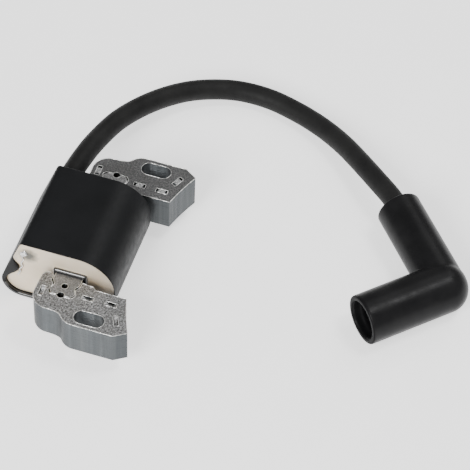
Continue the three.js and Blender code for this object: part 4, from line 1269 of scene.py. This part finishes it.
def spring_line():
    across = TO_PLUG.cross(TO_LEAD).normalized()
    up = across.cross(TO_PLUG).normalized()
    end = BOOT_CORNER + TO_LEAD * SPRING_END
    knots = [end, end - TO_LEAD * 1.2]
    for i in range(SPRING_TURNS * TURN_STEPS + 1):
        turns = i / TURN_STEPS
        a = 2 * math.pi * turns
        middle = BOOT_CORNER + TO_PLUG * (SPRING_START + SPRING_PITCH * turns)
        knots.append(middle + (up * math.cos(a) + across * math.sin(a)) * SPRING_RADIUS)
    return smooth_line(knots, 0.5)


def spring_wire():
    finish = Finish("spring_wire", Metallic=1.0)
    drawn = finish.noise(900, 3)
    colour = finish.ramp(drawn, (0.3, (0.5, 0.49, 0.46)), (0.7, (0.72, 0.71, 0.68)))
    return finish.to(Base_Color=colour, Roughness=finish.ramp(drawn, (0.3, 0.22), (0.7, 0.36)))


SPRING_WIRE = spring_wire()
spring = wire_along("plug_spring", spring_line(), SPRING_WIRE_RADIUS, 14, SPRING_WIRE)
in_place(spring, "boot", SPRING_WIRE, ["plug_terminal_spring"], smooth=60)

# %% [markdown]
# ## Pieces inside the case
# The windings, the board and its parts are sealed in the resin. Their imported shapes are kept, and each gets
# its own finish, so that a cut model still looks right.

# %% Finishes of the sealed pieces


def plain_finish(name, dark, light, rough, scale=900, metallic=0.0):
    finish = Finish(name, Metallic=metallic)
    grain = finish.noise(scale, 3)
    colour = finish.ramp(grain, (0.3, dark), (0.7, light))
    roughness = finish.ramp(grain, (0.3, rough), (0.7, rough + 0.12))
    return finish.to(Base_Color=colour, Roughness=roughness, Normal=finish.bump(grain, 0.00003, 0.4))


def enamelled_wire():
    finish = Finish("enamelled_wire", Metallic=0.9)
    links = {"Vector": finish.place, "Scale": 900.0, "Distortion": 0.3}
    lines = step(finish.tree, "ShaderNodeTexWave", links, bands_direction="Y").outputs["Fac"]
    colour = finish.ramp(lines, (0.1, (0.22, 0.07, 0.025)), (0.9, (0.62, 0.27, 0.1)))
    rough = finish.ramp(finish.noise(400), (0.3, 0.28), (0.7, 0.4))
    return finish.to(Base_Color=colour, Roughness=rough, Normal=finish.bump(lines, 0.0001, 0.6))


sealed = {
    "primary_winding": enamelled_wire(),
    "secondary_bobbin": plain_finish("bobbin_ivory", (0.55, 0.5, 0.4), (0.66, 0.6, 0.5), 0.4),
    "circuit_board": plain_finish("board_green", (0.03, 0.12, 0.05), (0.05, 0.17, 0.08), 0.35),
    "switching_transistor": plain_finish("component_black", 0.012, 0.02, 0.45),
    "board_resistor": plain_finish("resistor_tan", (0.42, 0.3, 0.17), (0.55, 0.42, 0.26), 0.4),
    "high_tension_terminal": plain_finish(
        "terminal_brass", (0.6, 0.45, 0.2), (0.75, 0.6, 0.32), 0.25, scale=700, metallic=1.0
    ),
}
same_finish = {
    "primary_winding": ["trigger_coil", "high_tension_link_wire", "primary_link_wire", "lead_conductor"],
    "switching_transistor": ["board_diode"],
}
same_finish["primary_winding"] += [f"secondary_winding_{i}" for i in range(1, 6)]
for first, finish in sealed.items():
    for node in [first, *same_finish.get(first, [])]:
        nodes[node].data.materials.clear()
        nodes[node].data.materials.append(finish)
print(sum(1 + len(same_finish.get(n, [])) for n in sealed), "sealed pieces have a finish")
